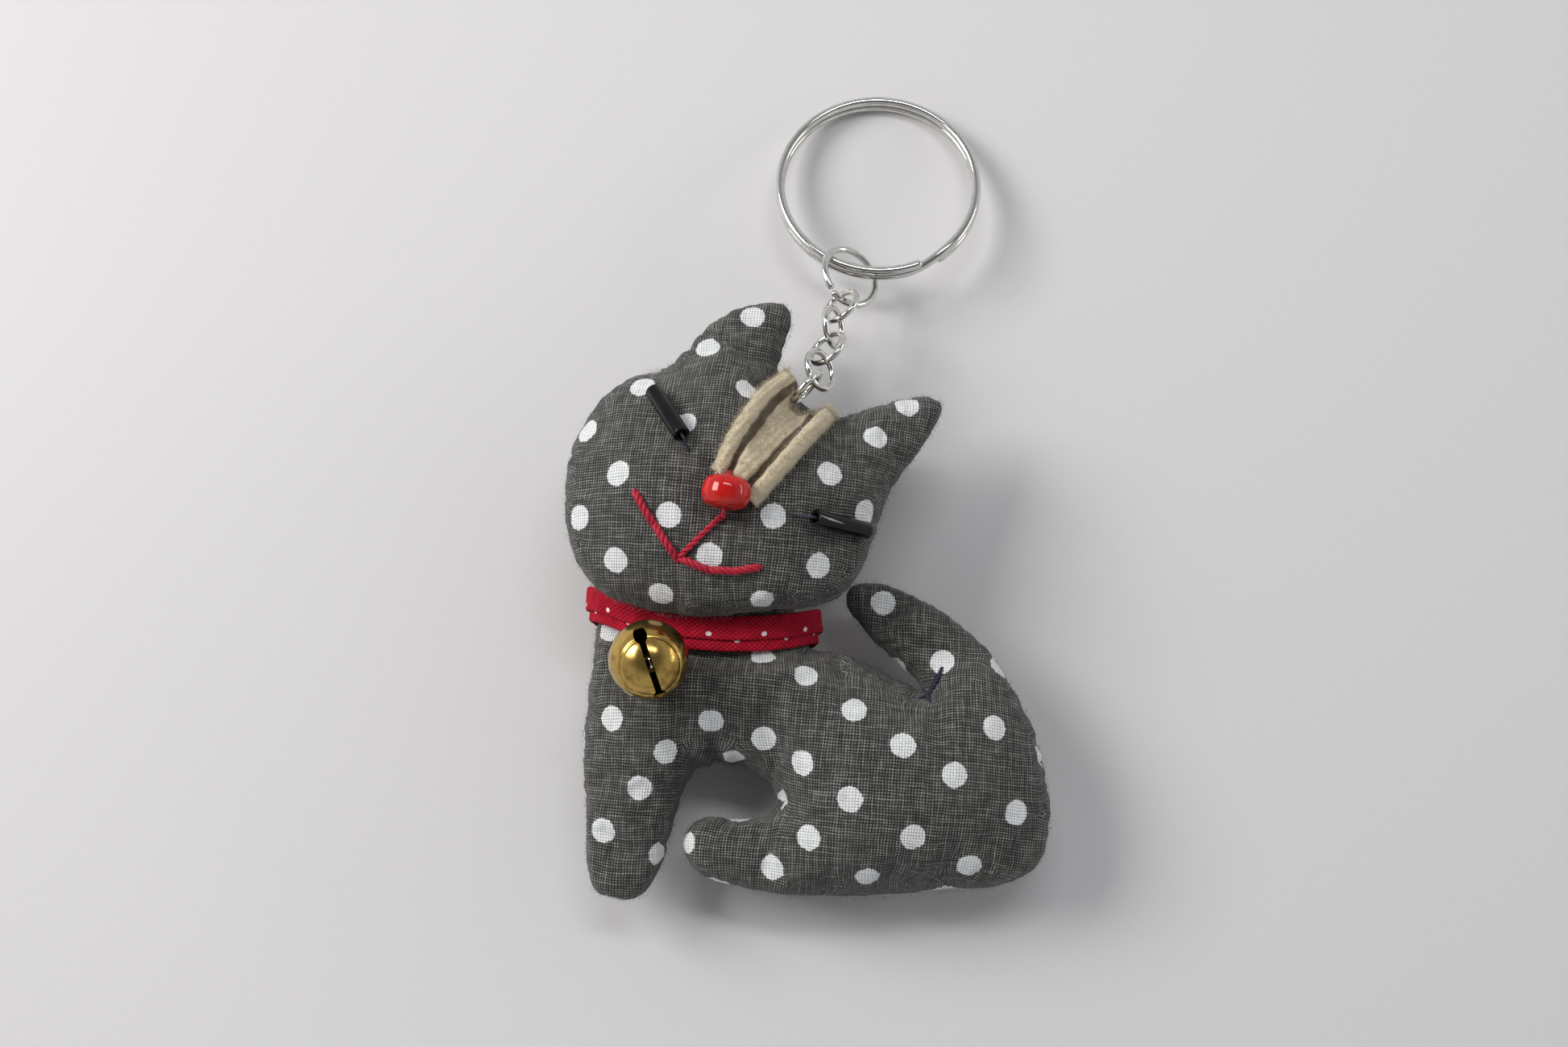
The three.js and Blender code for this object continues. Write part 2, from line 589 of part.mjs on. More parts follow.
// The loop's hole runs along X.
const bellLoop = add("bell_loop",
  new THREE.TorusGeometry(BELL_LOOP.radius, BELL_LOOP.wire, 8, 16), materials.brass);
bellLoop.rotation.y = Math.PI / 2;
bellLoop.position.copy(bellLoopCentre);
const pellet = add("bell_pellet", new THREE.IcosahedronGeometry(PELLET_RADIUS, 2), materials.nickel);
pellet.position.copy(bellCentre);
pellet.position.z -= BELL.radius - BELL.wall - PELLET_RADIUS - GAP - 0.1;

// A short thread from the collar through the loop and back to the collar
{
  const from = (x, y, z) => bellLoopCentre.clone().add(new THREE.Vector3(x, y, z));
  const side = BELL_THREAD.halfWidth;
  add("bell_thread", tube([
    from(-side, 1.9, 0.9), from(-side, 0.5, 0.2), from(0, 0, 0),
    from(side, 0.5, 0.2), from(side, 1.9, 0.9),
  ], BELL_THREAD.radius, 6, 24), materials.redThread);
}

// ---- rings and chain

// A closed ring by its centre and the way its plane faces
function closedRing(name, centre, normal, radius, wire) {
  const ring = add(name, new THREE.TorusGeometry(radius, wire, 8, 24), materials.nickel);
  ring.position.set(...centre);
  ring.quaternion.setFromUnitVectors(
    new THREE.Vector3(0, 0, 1), new THREE.Vector3(...normal).normalize());
  return ring;
}

class Coil extends THREE.Curve {
  constructor(radius, from, to, levelAt) {
    super();
    Object.assign(this, { radius, from, to, levelAt });
  }

  getPoint(t, target = new THREE.Vector3()) {
    const angle = this.from + (this.to - this.from) * t;
    return target.set(
      this.radius * Math.cos(angle), this.radius * Math.sin(angle), this.levelAt(t));
  }
}

// The end ring stands across the felt, so that its wire goes down through the hole.
const endCentre = new THREE.Vector3(...FELT_HOLE).add(new THREE.Vector3(1.47, 1.63, -1.1));
closedRing("end_ring", endCentre, END_RING.normal, END_RING.radius, WIRE.end);

// The links hang in a straight line between the wires of the jump ring and the end ring.
const chainTop = new THREE.Vector3(...CHAIN.atJumpRing);
const towardsTop = chainTop.clone().sub(endCentre).projectOnPlane(
  new THREE.Vector3(...END_RING.normal).normalize());
const chainEnd = endCentre.clone().addScaledVector(towardsTop.normalize(), END_RING.radius);
const chainAlong = chainEnd.clone().sub(chainTop).normalize();
const overlapOf = (wire) => wire + WIRE.link + CHAIN.clearance;
const linkRadius = (chainTop.distanceTo(chainEnd) + overlapOf(WIRE.jump) + overlapOf(WIRE.end)
  + (CHAIN.rolls.length - 1) * overlapOf(WIRE.link)) / (2 * CHAIN.rolls.length);
CHAIN.rolls.forEach((roll, i) => {
  const side = new THREE.Vector3().crossVectors(chainAlong, new THREE.Vector3(0, 0, 1));
  side.normalize().applyAxisAngle(chainAlong, THREE.MathUtils.degToRad(roll));
  const from = -overlapOf(WIRE.jump) + i * (2 * linkRadius - overlapOf(WIRE.link));
  const centre = chainTop.clone().addScaledVector(chainAlong, from + linkRadius);
  const normal = chainAlong.clone().cross(side);
  closedRing(`chain_link_${i + 1}`, centre, normal, linkRadius, WIRE.link);
});

{
  const end = THREE.MathUtils.degToRad(JUMP_RING.gap / 2);
  const start = THREE.MathUtils.degToRad(JUMP_RING.gapAt);
  const coil = new Coil(JUMP_RING.radius, start + end, start + 2 * Math.PI - end,
    (t) => JUMP_RING.offset * (t - 0.5));
  const ring = add("jump_ring", tube(null, WIRE.jump, 8, 40, coil), materials.nickel);
  ring.position.set(...JUMP_RING.centre);
  ring.quaternion.setFromUnitVectors(
    new THREE.Vector3(0, 0, 1), new THREE.Vector3(...JUMP_RING.normal).normalize());
}
{
  const start = THREE.MathUtils.degToRad(RING.endsAt);
  const end = THREE.MathUtils.degToRad(RING.gap / 2);
  const coil = new Coil(RING.radius, start + end, start + 4 * Math.PI - end,
    (t) => RING.pitch * (THREE.MathUtils.smoothstep(t, 0.48, 0.52) - 0.5));
  const ring = add("split_key_ring", tube(null, WIRE.ring, 8, 96, coil), materials.nickel);
  const tilt = THREE.MathUtils.degToRad(RING.tilt);
  ring.rotation.x = -tilt;
  ring.position.set(RING.x, RING.y,
    WIRE.ring + RING.radius * Math.sin(tilt) + (RING.pitch / 2) * Math.cos(tilt));
}

// The origin is under the middle of the whole object, on the table.
plush.updateMatrixWorld(true);
const box = new THREE.Box3().setFromObject(plush, true);
plush.position.set(-(box.min.x + box.max.x) / 2, -(box.min.y + box.max.y) / 2, -box.min.z);

export default plush;
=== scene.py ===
"""A plush cat keychain: dotted cotton cushions, a folded collar, a bell, beads, felt and a chain.

Lengths are in millimetres in the row frame until a mesh is made, which is in metres.
"""

import math

import bmesh
import bpy
import numpy as np
from mathutils import Matrix, Quaternion, Vector
from mathutils.bvhtree import BVHTree
from mathutils.geometry import delaunay_2d_cdt
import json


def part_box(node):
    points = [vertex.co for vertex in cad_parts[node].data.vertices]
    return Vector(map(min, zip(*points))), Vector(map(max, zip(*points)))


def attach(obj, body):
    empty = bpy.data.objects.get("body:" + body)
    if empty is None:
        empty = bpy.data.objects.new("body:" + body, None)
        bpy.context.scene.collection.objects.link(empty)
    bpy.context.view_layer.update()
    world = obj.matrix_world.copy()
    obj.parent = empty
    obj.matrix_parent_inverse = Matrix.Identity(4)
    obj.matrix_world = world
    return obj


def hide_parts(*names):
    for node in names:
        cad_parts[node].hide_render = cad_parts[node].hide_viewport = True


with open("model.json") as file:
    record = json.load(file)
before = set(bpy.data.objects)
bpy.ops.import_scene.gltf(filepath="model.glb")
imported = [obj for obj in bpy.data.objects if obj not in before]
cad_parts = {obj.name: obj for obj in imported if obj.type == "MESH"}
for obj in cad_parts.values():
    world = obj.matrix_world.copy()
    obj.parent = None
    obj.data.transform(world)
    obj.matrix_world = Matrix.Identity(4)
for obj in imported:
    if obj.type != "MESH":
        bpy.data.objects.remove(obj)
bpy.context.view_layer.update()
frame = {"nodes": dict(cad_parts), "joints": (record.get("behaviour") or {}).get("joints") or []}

MM = 0.001
SHIFT = np.array([0.0642, -1.2361])  # from the drawing's own origin to the row frame
RNG = np.random.default_rng(41)

BODY_OUTLINE = [
    (-27.2, -17), (-28.3, -25), (-29.2, -34), (-28.7, -42), (-28.5, -49.5), (-27.4, -53),
    (-24.5, -54.2), (-21.2, -53.6), (-18.7, -50), (-17.6, -46), (-16.2, -41.5),
    (-14.3, -37.8), (-11, -37), (-7, -38.1), (-4.4, -40.3), (-5, -43), (-9, -43.5),
    (-13.6, -43.5), (-15.9, -45.5), (-15.9, -48.7), (-13.2, -51.3), (-8.5, -52.6),
    (-1, -53.7), (8, -53.9), (17, -53.1), (24.5, -52.4), (29.3, -50), (31.1, -45.5),
    (30.9, -38.5), (28.8, -30.8), (25, -24), (20, -18.6), (14.8, -15.1), (9.5, -12.9),
    (5.8, -13.3), (4.8, -15.4), (6.6, -18.6), (10.5, -22.8), (14.9, -27), (10.5, -24.8),
    (5, -22.3), (0.6, -21.5), (-0.9, -19), (-2.2, -14.5), (-6, -9), (-14, -6), (-22, -8.5),
]
HEAD_OUTLINE = [
    (-2.6, 23.8), (-8.4, 23.4), (-12.9, 20.6), (-16, 17.2), (-19.7, 14.5), (-23, 13.3),
    (-26.6, 10.5), (-29.6, 6.2), (-31.2, 0.6), (-31.2, -5.8), (-29.5, -11.8),
    (-26.4, -15.6), (-22.5, -17.4), (-16.5, -18.7), (-11, -18.8), (-5.5, -18.1),
    (-0.3, -17.7), (3.8, -16.3), (6.5, -13.2), (8.4, -8.8), (9.6, -5.4), (11.3, -1.3),
    (14.3, 3), (17, 7.2), (17.7, 9.7), (16.4, 10.9), (12.3, 10.6), (7.6, 9.2),
    (3.2, 8.2), (-0.6, 10.1), (-3.6, 13.4), (-3.1, 17.2), (-2, 21),
]
BODY = dict(seam=8.5, slope=0.0, front=1.1, back=1.15)
HEAD = dict(seam=15.2, slope=-0.15, front=1.08, back=0.85)
PRESS = dict(y=-17.5, z=17.0, slope=-0.67)
SKIN = 0.65  # from the seam's height to the outer face of a CAD panel
COLLAR = dict(x=-13.6, half=14.45, top=7.0, bottom=7.4)
DOT = 1.66  # radius of a printed dot
THREAD_PITCH, GRAIN = 0.36, math.radians(-4)  # the grey cotton's weave
WIRE = dict(end_ring=0.45, chain_link=0.42, jump_ring=0.47, key_ring=0.6)  # radii, as in CAD
KEY_RING, COIL_RISE = 13.5, 1.35  # the split ring's radius, and the height between its coils
BELL_OUT, BELL_IN = 5.0, 4.5
# Where the printed dots fall on the two front panels; the back panels carry the plain lattice
HEAD_DOTS = [
    (-6.9, 21.4), (-13.0, 16.1), (-7.8, 9.6), (-21.0, 10.1), (-15.8, 5.0), (-27.8, 5.2),
    (-23.6, -1.2), (-17.7, -6.8), (-28.3, -6.6), (-23.7, -11.9), (-18.5, -16.6),
    (-12.0, -12.1), (-6.1, -16.8), (-4.4, -7.3), (0.6, -12.8), (2.5, -1.7), (8.2, 4.2),
    (13.0, 9.1), (7.1, -5.9), (5.9, -16.9), (-32.4, 0.6), (-10.2, -1.9), (-2.1, 4.1),
]
BODY_DOTS = [
    (-12.2, -31.7), (-6.1, -34.7), (-0.7, -37.6), (4.9, -41.8), (12.7, -46.0), (20.1, -49.4),
    (-6.0, -24.3), (0.0, -26.6), (5.9, -30.6), (11.4, -35.2), (18.0, -39.1), (25.4, -43.4),
    (9.7, -15.9), (17.4, -23.9), (23.1, -32.7), (30.1, -35.6), (-24.9, -31.4), (-17.6, -36.0),
    (-21.3, -40.4), (-25.7, -45.1), (-18.9, -48.8), (0.0, -46.5), (7.3, -51.1), (-4.7, -49.7),
    (-15.6, -47.1), (-3.9, -40.6), (-9.0, -43.6), (-29.4, -33.2), (32.0, -44.6),
    (-24.9, -54.3), (17.4, -53.4), (-11.6, -52.7), (-9.4, -36.6), (11.7, -24.4), (24.4, -24.6),
    (-18.8, -26.4), (-25.0, -19.8), (3.2, -21.0), (-29.5, -22.6),
]
HEAD_LATTICE = ((5.6, -5.4), (-6.9, -5.2))
BODY_LATTICE = ((6.3, -3.9), (6.0, 7.0))


# ---- small tools


def row(x, y, z=None):
    """A place in the drawing's own frame, in the row frame."""
    p = (x + SHIFT[0], y + SHIFT[1])
    return np.array(p if z is None else (*p, z), float)


def unit(v):
    v = np.asarray(v, float)
    return v / np.maximum(np.linalg.norm(v, axis=-1, keepdims=True), 1e-12)


def outward(mesh):
    """Turns a closed mesh's faces to look outwards."""
    form = bmesh.new()
    form.from_mesh(mesh)
    bmesh.ops.recalc_face_normals(form, faces=form.faces)
    form.to_mesh(mesh)
    form.free()


def make(name, verts, faces, material, body, slot, cad=()):
    """A mesh piece from vertices in millimetres, riding on a body."""
    mesh = bpy.data.meshes.new(name)
    mesh.from_pydata((np.asarray(verts, float) * MM).tolist(), [], [list(f) for f in faces])
    mesh.validate()
    mesh.update()
    mesh.polygons.foreach_set("use_smooth", [True] * len(mesh.polygons))
    obj = bpy.data.objects.new(name, mesh)
    bpy.context.scene.collection.objects.link(obj)
    mesh.materials.append(material)
    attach(obj, body)
    if cad:
        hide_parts(*cad)
    return obj


def applied(obj):
    """Leaves a piece with its modifiers applied."""
    dg = bpy.context.evaluated_depsgraph_get()
    mesh = bpy.data.meshes.new_from_object(obj.evaluated_get(dg))
    obj.modifiers.clear()
    old, obj.data = obj.data, mesh
    bpy.data.meshes.remove(old)
    return obj


def thicken(obj, thickness, offset):
    """Gives a sheet its thickness, in metres."""
    solid = obj.modifiers.new("thickness", "SOLIDIFY")
    solid.thickness, solid.offset = thickness, offset
    applied(obj)


def store(obj, name, domain, values):
    """Keeps three numbers for each point or corner, for the material to read."""
    layer = obj.data.attributes.new(name, "FLOAT_VECTOR", domain)
    layer.data.foreach_set("vector", np.asarray(values).astype(np.float32).ravel())


def surface_of(obj):
    """A ray tree of an object's mesh, in millimetres."""
    mesh = obj.data
    mesh.calc_loop_triangles()
    verts = [v.co * 1000 for v in mesh.vertices]
    return BVHTree.FromPolygons(verts, [tuple(t.vertices) for t in mesh.loop_triangles])


def tree_of(node):
    return surface_of(frame["nodes"][node])


def middle(node):
    """The centre of a CAD node's box, in millimetres."""
    lo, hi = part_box(node)
    return np.array((lo + hi) / 2) * 1000


def joint_axis(name):
    found = next(j for j in frame["joints"] if j["name"] == name)
    return unit(np.array(found["axis"], float))


def catmull(points, closed, per=12):
    """Points on a smooth curve through the given ones."""
    p = np.asarray(points, float)
    n = len(p)
    out = []
    for i in range(n if closed else n - 1):
        if closed:
            a, b, c, d = (p[(i + k) % n] for k in (-1, 0, 1, 2))
        else:
            b, c = p[i], p[i + 1]
            a = p[i - 1] if i else 2 * b - c
            d = p[i + 2] if i + 2 < n else 2 * c - b
        t1 = max(np.linalg.norm(b - a), 1e-9) ** 0.5
        t2 = t1 + max(np.linalg.norm(c - b), 1e-9) ** 0.5
        t3 = t2 + max(np.linalg.norm(d - c), 1e-9) ** 0.5
        for t in np.linspace(t1, t2, per, endpoint=False):
            a1 = (t1 - t) / t1 * a + t / t1 * b
            a2 = (t2 - t) / (t2 - t1) * b + (t - t1) / (t2 - t1) * c
            a3 = (t3 - t) / (t3 - t2) * c + (t - t2) / (t3 - t2) * d
            b1 = (t2 - t) / t2 * a1 + t / t2 * a2
            b2 = (t3 - t) / (t3 - t1) * a2 + (t - t1) / (t3 - t1) * a3
            out.append((t2 - t) / (t2 - t1) * b1 + (t - t1) / (t2 - t1) * b2)
    if not closed:
        out.append(p[-1])
    return np.array(out)


def spaced(line, step, closed=False):
    """A line's points moved to even spacing."""
    if closed:
        line = np.vstack([line, line[:1]])
    run = np.r_[0, np.cumsum(np.linalg.norm(np.diff(line, axis=0), axis=1))]
    count = max(int(round(run[-1] / step)), 2)
    at = np.linspace(0, run[-1], count + 1)
    if closed:
        at = at[:-1]
    return np.stack([np.interp(at, run, line[:, k]) for k in range(line.shape[1])], 1)


def frames_along(line, closed=False):
    """Two directions across a line at each point, turning as little as they can."""
    tangent = unit(np.roll(line, -1, 0) - np.roll(line, 1, 0)) if closed else unit(
        np.gradient(line, axis=0))
    side = np.cross(tangent[0], (0, 0, 1))
    if np.linalg.norm(side) < 1e-3:
        side = np.cross(tangent[0], (0, 1, 0))
    sides = [unit(side)]
    for t in tangent[1:]:
        s = sides[-1] - t * np.dot(sides[-1], t)
        sides.append(unit(s))
    sides = np.array(sides)
    if closed:
        last = sides[-1] - tangent[0] * np.dot(sides[-1], tangent[0])
        last = unit(last)
        other = np.cross(tangent[0], sides[0])
        gap = math.atan2(np.dot(last, other), np.dot(last, sides[0]))
        turn = -gap * np.arange(len(line)) / len(line)
        across = np.cross(tangent, sides)
        sides = sides * np.cos(turn)[:, None] + across * np.sin(turn)[:, None]
    return tangent, sides, np.cross(tangent, sides)


def sweep(line, radius, sides=16, closed=False):
    """Vertices and faces of a tube along a line. radius may differ from point to point."""
    line = np.asarray(line, float)
    r = np.broadcast_to(np.asarray(radius, float), (len(line),)).copy()
    tangent, u, v = frames_along(line, closed)
    if not closed:
        head, tail, rh, rt = [], [], [], []
        for k in range(3):
            a = math.pi / 2 * (k + 0.35) / 3.35
            head.append(line[0] - tangent[0] * r[0] * math.cos(a) * 0.7)
            rh.append(r[0] * math.sin(a))
            tail.append(line[-1] + tangent[-1] * r[-1] * math.cos(a) * 0.7)
            rt.append(r[-1] * math.sin(a))
        line = np.vstack([head, line, tail[::-1]])
        r = np.r_[rh, r, rt[::-1]]
        u = np.vstack([[u[0]] * 3, u, [u[-1]] * 3])
        v = np.vstack([[v[0]] * 3, v, [v[-1]] * 3])
    a = np.linspace(0, 2 * math.pi, sides, endpoint=False)
    rings = (line[:, None] + r[:, None, None] * (
        u[:, None] * np.cos(a)[None, :, None] + v[:, None] * np.sin(a)[None, :, None]))
    n = len(line)
    faces = []
    for i in range(n if closed else n - 1):
        j = (i + 1) % n
        for k in range(sides):
            m = (k + 1) % sides
            faces.append((i * sides + k, i * sides + m, j * sides + m, j * sides + k))
    if not closed:
        faces.append(tuple(range(sides))[::-1])
        faces.append(tuple((n - 1) * sides + k for k in range(sides)))
    return rings.reshape(-1, 3), faces


def joined(parts):
    """Several lots of vertices and faces as one."""
    verts, faces, start = [], [], 0
    for v, f in parts:
        verts.append(v)
        faces += [tuple(i + start for i in face) for face in f]
        start += len(v)
    return np.vstack(verts), faces


def plied(line, radius, plies=2, pitch=1.5, phase=0.0):
    """A twisted thread: plies wound round a line."""
    step = 0.16
    line = spaced(np.asarray(line, float), step)
    _, u, v = frames_along(line)
    run = np.arange(len(line)) * step
    own = radius * (0.56 if plies == 2 else 0.5)
    parts = []
    for k in range(plies):
        a = 2 * math.pi * (run / pitch + k / plies) + phase
        ply = line + (radius - own) * (u * np.cos(a)[:, None] + v * np.sin(a)[:, None])
        swell = own * (1 + 0.05 * np.sin(run * 5.1 + k))
        parts.append(sweep(ply, swell, 8))
    return joined(parts)


def lathe(profile, axis, centre, segments=72):
    """A closed turned form. The profile is (radius, height) pairs that close on themselves."""
    profile = np.asarray(profile, float)
    a = np.linspace(0, 2 * math.pi, segments, endpoint=False)
    n = len(profile)
    local = np.stack([
        np.outer(np.cos(a), profile[:, 0]), np.outer(np.sin(a), profile[:, 0]),
        np.tile(profile[:, 1], (segments, 1))], -1).reshape(-1, 3)
    turn = Vector((0, 0, 1)).rotation_difference(Vector(unit(axis)))
    verts = local @ np.array(turn.to_matrix()).T + centre
    faces = []
    for i in range(segments):
        j = (i + 1) % segments
        for k in range(n):
            m = (k + 1) % n
            faces.append((i * n + k, j * n + k, j * n + m, i * n + m))
    return verts, faces


def rounded(corners, radius, steps=8):
    """A closed profile with its corners rounded."""
    p = np.asarray(corners, float)
    out = []
    for i, c in enumerate(p):
        r = radius[i] if hasattr(radius, "__len__") else radius
        a, b = unit(p[i - 1] - c) * r, unit(p[(i + 1) % len(p)] - c) * r
        for t in np.linspace(0, 1, steps):
            out.append((1 - t) ** 2 * (c + a) + 2 * t * (1 - t) * c + t * t * (c + b))
    return np.array(out)


# ---- materials


class Nodes:
    """Short names for making a node material."""

    def __init__(self, name):
        self.mat = bpy.data.materials.new(name)
        self.mat.use_nodes = True
        self.tree = self.mat.node_tree
        self.shader = self.tree.nodes["Principled BSDF"]

    def link(self, value, socket):
        if isinstance(value, bpy.types.NodeSocket):
            self.tree.links.new(value, socket)
        elif value is not None:
            socket.default_value = value

    def math(self, operation, a, b=None, c=None):
        node = self.tree.nodes.new("ShaderNodeMath")
        node.operation = operation
        for value, socket in zip((a, b, c), node.inputs):
            self.link(value, socket)
        return node.outputs[0]

    def add(self, a, b):
        return self.math("ADD", a, b)

    def sub(self, a, b):
        return self.math("SUBTRACT", a, b)

    def mul(self, a, b):
        return self.math("MULTIPLY", a, b)

    def mul_add(self, a, b, c):
        return self.math("MULTIPLY_ADD", a, b, c)

    def vector(self, operation, a, b=None, scale=None):
        node = self.tree.nodes.new("ShaderNodeVectorMath")
        node.operation = operation
        self.link(a, node.inputs[0])
        self.link(b, node.inputs[1])
        if scale is not None:
            self.link(scale, node.inputs["Scale"])
        return node.outputs["Value" if operation in ("LENGTH", "DOT_PRODUCT") else "Vector"]

    def noise(self, vector, scale, detail=3.0, roughness=0.55, stretch=None):
        if stretch is not None:
            vector = self.vector("MULTIPLY", vector, stretch)
        node = self.tree.nodes.new("ShaderNodeTexNoise")
        self.link(vector, node.inputs["Vector"])
        node.inputs["Scale"].default_value = scale
        node.inputs["Detail"].default_value = detail
        node.inputs["Roughness"].default_value = roughness
        return node.outputs["Fac"]

    def mix(self, fac, a, b):
        node = self.tree.nodes.new("ShaderNodeMix")
        node.data_type = "RGBA"
        self.link(fac, node.inputs["Factor"])
        for value, socket in ((a, node.inputs[6]), (b, node.inputs[7])):
            if isinstance(value, tuple):
                value = (*value[:3], 1.0)
            self.link(value, socket)
        return node.outputs[2]

    def ramp(self, value, low, high):
        """0 at low to 1 at high, smoothly."""
        node = self.tree.nodes.new("ShaderNodeMapRange")
        node.interpolation_type = "SMOOTHSTEP"
        self.link(value, node.inputs["Value"])
        node.inputs["From Min"].default_value = low
        node.inputs["From Max"].default_value = high
        return node.outputs[0]

    def bump(self, height, distance, strength=1.0, normal=None):
        node = self.tree.nodes.new("ShaderNodeBump")
        self.link(height, node.inputs["Height"])
        node.inputs["Distance"].default_value = distance
        node.inputs["Strength"].default_value = strength
        self.link(normal, node.inputs["Normal"])
        return node.outputs[0]

    def attribute(self, name):
        node = self.tree.nodes.new("ShaderNodeAttribute")
        node.attribute_name = name
        return node.outputs["Vector"]

    def place(self):
        """The place on the object, in millimetres."""
        node = self.tree.nodes.new("ShaderNodeTexCoord")
        return self.vector("SCALE", node.outputs["Object"], scale=1000.0)

    def split(self, vector):
        node = self.tree.nodes.new("ShaderNodeSeparateXYZ")
        self.link(vector, node.inputs[0])
        return node.outputs[0], node.outputs[1], node.outputs[2]

    def combine(self, x, y, z=0.0):
        node = self.tree.nodes.new("ShaderNodeCombineXYZ")
        for value, socket in zip((x, y, z), node.inputs):
            self.link(value, socket)
        return node.outputs[0]

    def set(self, **values):
        """Puts values or sockets on the shader and gives the finished material."""
        names = dict(
            color="Base Color", rough="Roughness", metal="Metallic", normal="Normal", ior="IOR",
            sheen="Sheen Weight", sheen_rough="Sheen Roughness", specular="Specular IOR Level")
        for key, value in values.items():
            if isinstance(value, tuple) and key == "color":
                value = (*value[:3], 1.0)
            self.link(value, self.shader.inputs[names[key]])
        return self.mat


def weave(n, flat, pitch, turn, coarse=0.35):
    """Height of a plain weave from 0 to 1, and its yarn streaks. coarse is the slubs' share."""
    x, y, _ = n.split(flat)
    c, s = math.cos(turn), math.sin(turn)
    wobble = n.noise(flat, 0.35, 2.0)
    off = n.mul(n.sub(wobble, 0.5), 0.35)
    u = n.add(n.add(n.mul(x, c), n.mul(y, s)), off)
    v = n.add(n.sub(n.mul(y, c), n.mul(x, s)), off)
    u = n.math("DIVIDE", u, pitch)
    v = n.math("DIVIDE", v, pitch)
    su = n.math("SINE", n.mul(u, math.pi))
    sv = n.math("SINE", n.mul(v, math.pi))
    over = n.math("SIGN", n.mul(su, sv))
    a = n.mul_add(over, 0.42, 0.85)
    b = n.mul_add(over, -0.42, 0.85)
    h = n.mul(n.math("POWER", n.math("ABSOLUTE", su), a),
              n.math("POWER", n.math("ABSOLUTE", sv), b))
    yarn = n.combine(u, v)
    fine = n.add(n.noise(yarn, 1.0, 2.0, stretch=(0.12, 1.0, 1.0)),
                 n.noise(yarn, 1.0, 2.0, stretch=(1.0, 0.12, 1.0)))
    slub = n.add(n.noise(yarn, 0.42, 1.0, stretch=(0.16, 1.0, 1.0)),
                 n.noise(yarn, 0.42, 1.0, stretch=(1.0, 0.16, 1.0)))
    streak = n.mul_add(n.sub(slub, 1.0), coarse, fine)
    return h, n.mul(streak, 0.5)


def dotted_cotton(name, coarse):
    """Dark grey plain-woven cotton printed with white dots, with painted weave shade and
    highlights.
    """
    n = Nodes(name)
    flat = n.attribute("pattern")
    x, y, away = n.split(flat)  # the place on the cloth, and the distance to a dot's centre
    flat = n.combine(x, y)
    h, streak = weave(n, flat, THREAD_PITCH, GRAIN, coarse)
    ragged = n.mul(n.sub(n.noise(flat, 1.1, 3.0), 0.5), 0.5)
    edge = n.add(away, ragged)
    edge = n.mul_add(h, -0.10, edge)
    dot = n.sub(1.0, n.ramp(edge, DOT - 0.16, DOT + 0.03))
    # The weave's height goes into the colour as well as the bump: painted shade in the gaps
    # between yarns and painted highlights on the yarn tops, mixed with the yarns' own streaks.
    light = n.mul_add(n.sub(streak, 0.5), 1.9, h)
    ground = n.mix(n.ramp(light, 0.12, 0.62), (0.012, 0.012, 0.011), (0.088, 0.086, 0.078))
    ground = n.mix(n.ramp(light, 0.70, 1.12), ground, (0.31, 0.305, 0.28))
    mottle = n.noise(flat, 0.16, 3.0)
    worn = n.mul(n.ramp(mottle, 0.45, 0.75), 0.25)
    ground = n.mix(worn, ground, (0.105, 0.10, 0.09))
    # The printed dots get the same painted weave shade, darker in the gaps between yarns.
    paint = n.mix(n.ramp(light, 0.05, 0.6), (0.46, 0.47, 0.47), (0.84, 0.85, 0.85))
    color = n.mix(dot, ground, paint)
    return n.set(color=color, rough=0.86, sheen=0.12, sheen_rough=0.5, specular=0.3,
                 normal=n.bump(h, 0.00012, 0.7))


def specked_cotton(name, low, high, pitch, turn, step, size):
    """Woven cotton in one colour, with painted weave shade and highlights, and small printed
    specks, step apart and size in radius.
    """
    n = Nodes(name)
    flat = n.attribute("pattern")
    h, streak = weave(n, flat, pitch, turn)
    # The weave's height goes into the colour: painted shade in the gaps between yarns and painted
    # highlights on the yarn tops, mixed with the yarns' own streaks.
    light = n.mul_add(n.sub(streak, 0.5), 1.3, h)
    color = n.mix(n.ramp(light, 0.1, 0.95), low, high)
    x, y, _ = n.split(flat)
    qx = n.math("DIVIDE", x, step)
    qy = n.math("DIVIDE", n.add(y, -0.05), step)
    qx = n.mul_add(n.math("ROUND", qy), 0.5, qx)  # every other row is shifted
    dx = n.sub(qx, n.math("ROUND", qx))
    dy = n.sub(qy, n.math("ROUND", qy))
    away = n.mul(n.vector("LENGTH", n.combine(dx, dy)), step)
    speck = n.sub(1.0, n.ramp(away, size - 0.06, size + 0.04))
    color = n.mix(speck, color, (0.86, 0.80, 0.80))
    return n.set(color=color, rough=0.85, sheen=0.03, sheen_rough=0.5, specular=0.18,
                 normal=n.bump(h, 0.00009, 0.65))


def wool(name, low, high):
    """Matted fibre. Where the piece has a depth, its grooves get painted shade in dark brown."""
    n = Nodes(name)
    at = n.place()
    fine = n.noise(at, 4.0, 5.0, 0.65)
    hair = n.noise(at, 3.0, 4.0, 0.7, stretch=(1.0, 3.2, 1.0))
    mix = n.add(n.mul(fine, 0.5), n.mul(hair, 0.5))
    broad = n.noise(at, 0.5, 2.0)
    fold, _, _ = n.split(n.attribute("depth"))  # 0 on the felt's ridges, 1 in its grooves
    color = n.mix(n.ramp(mix, 0.32, 0.66), low, high)
    color = n.mix(n.mul(n.ramp(broad, 0.5, 0.8), 0.25), color, (0.62, 0.52, 0.36))
    # Painted shade: the felt's grooves are darkened towards dark brown.
    color = n.mix(n.mul(n.ramp(fold, 0.1, 0.85), 0.92), color, (0.085, 0.05, 0.02))
    return n.set(color=color, rough=0.95, sheen=0.3, sheen_rough=0.6, specular=0.2,
                 normal=n.bump(mix, 0.00022, 0.7))


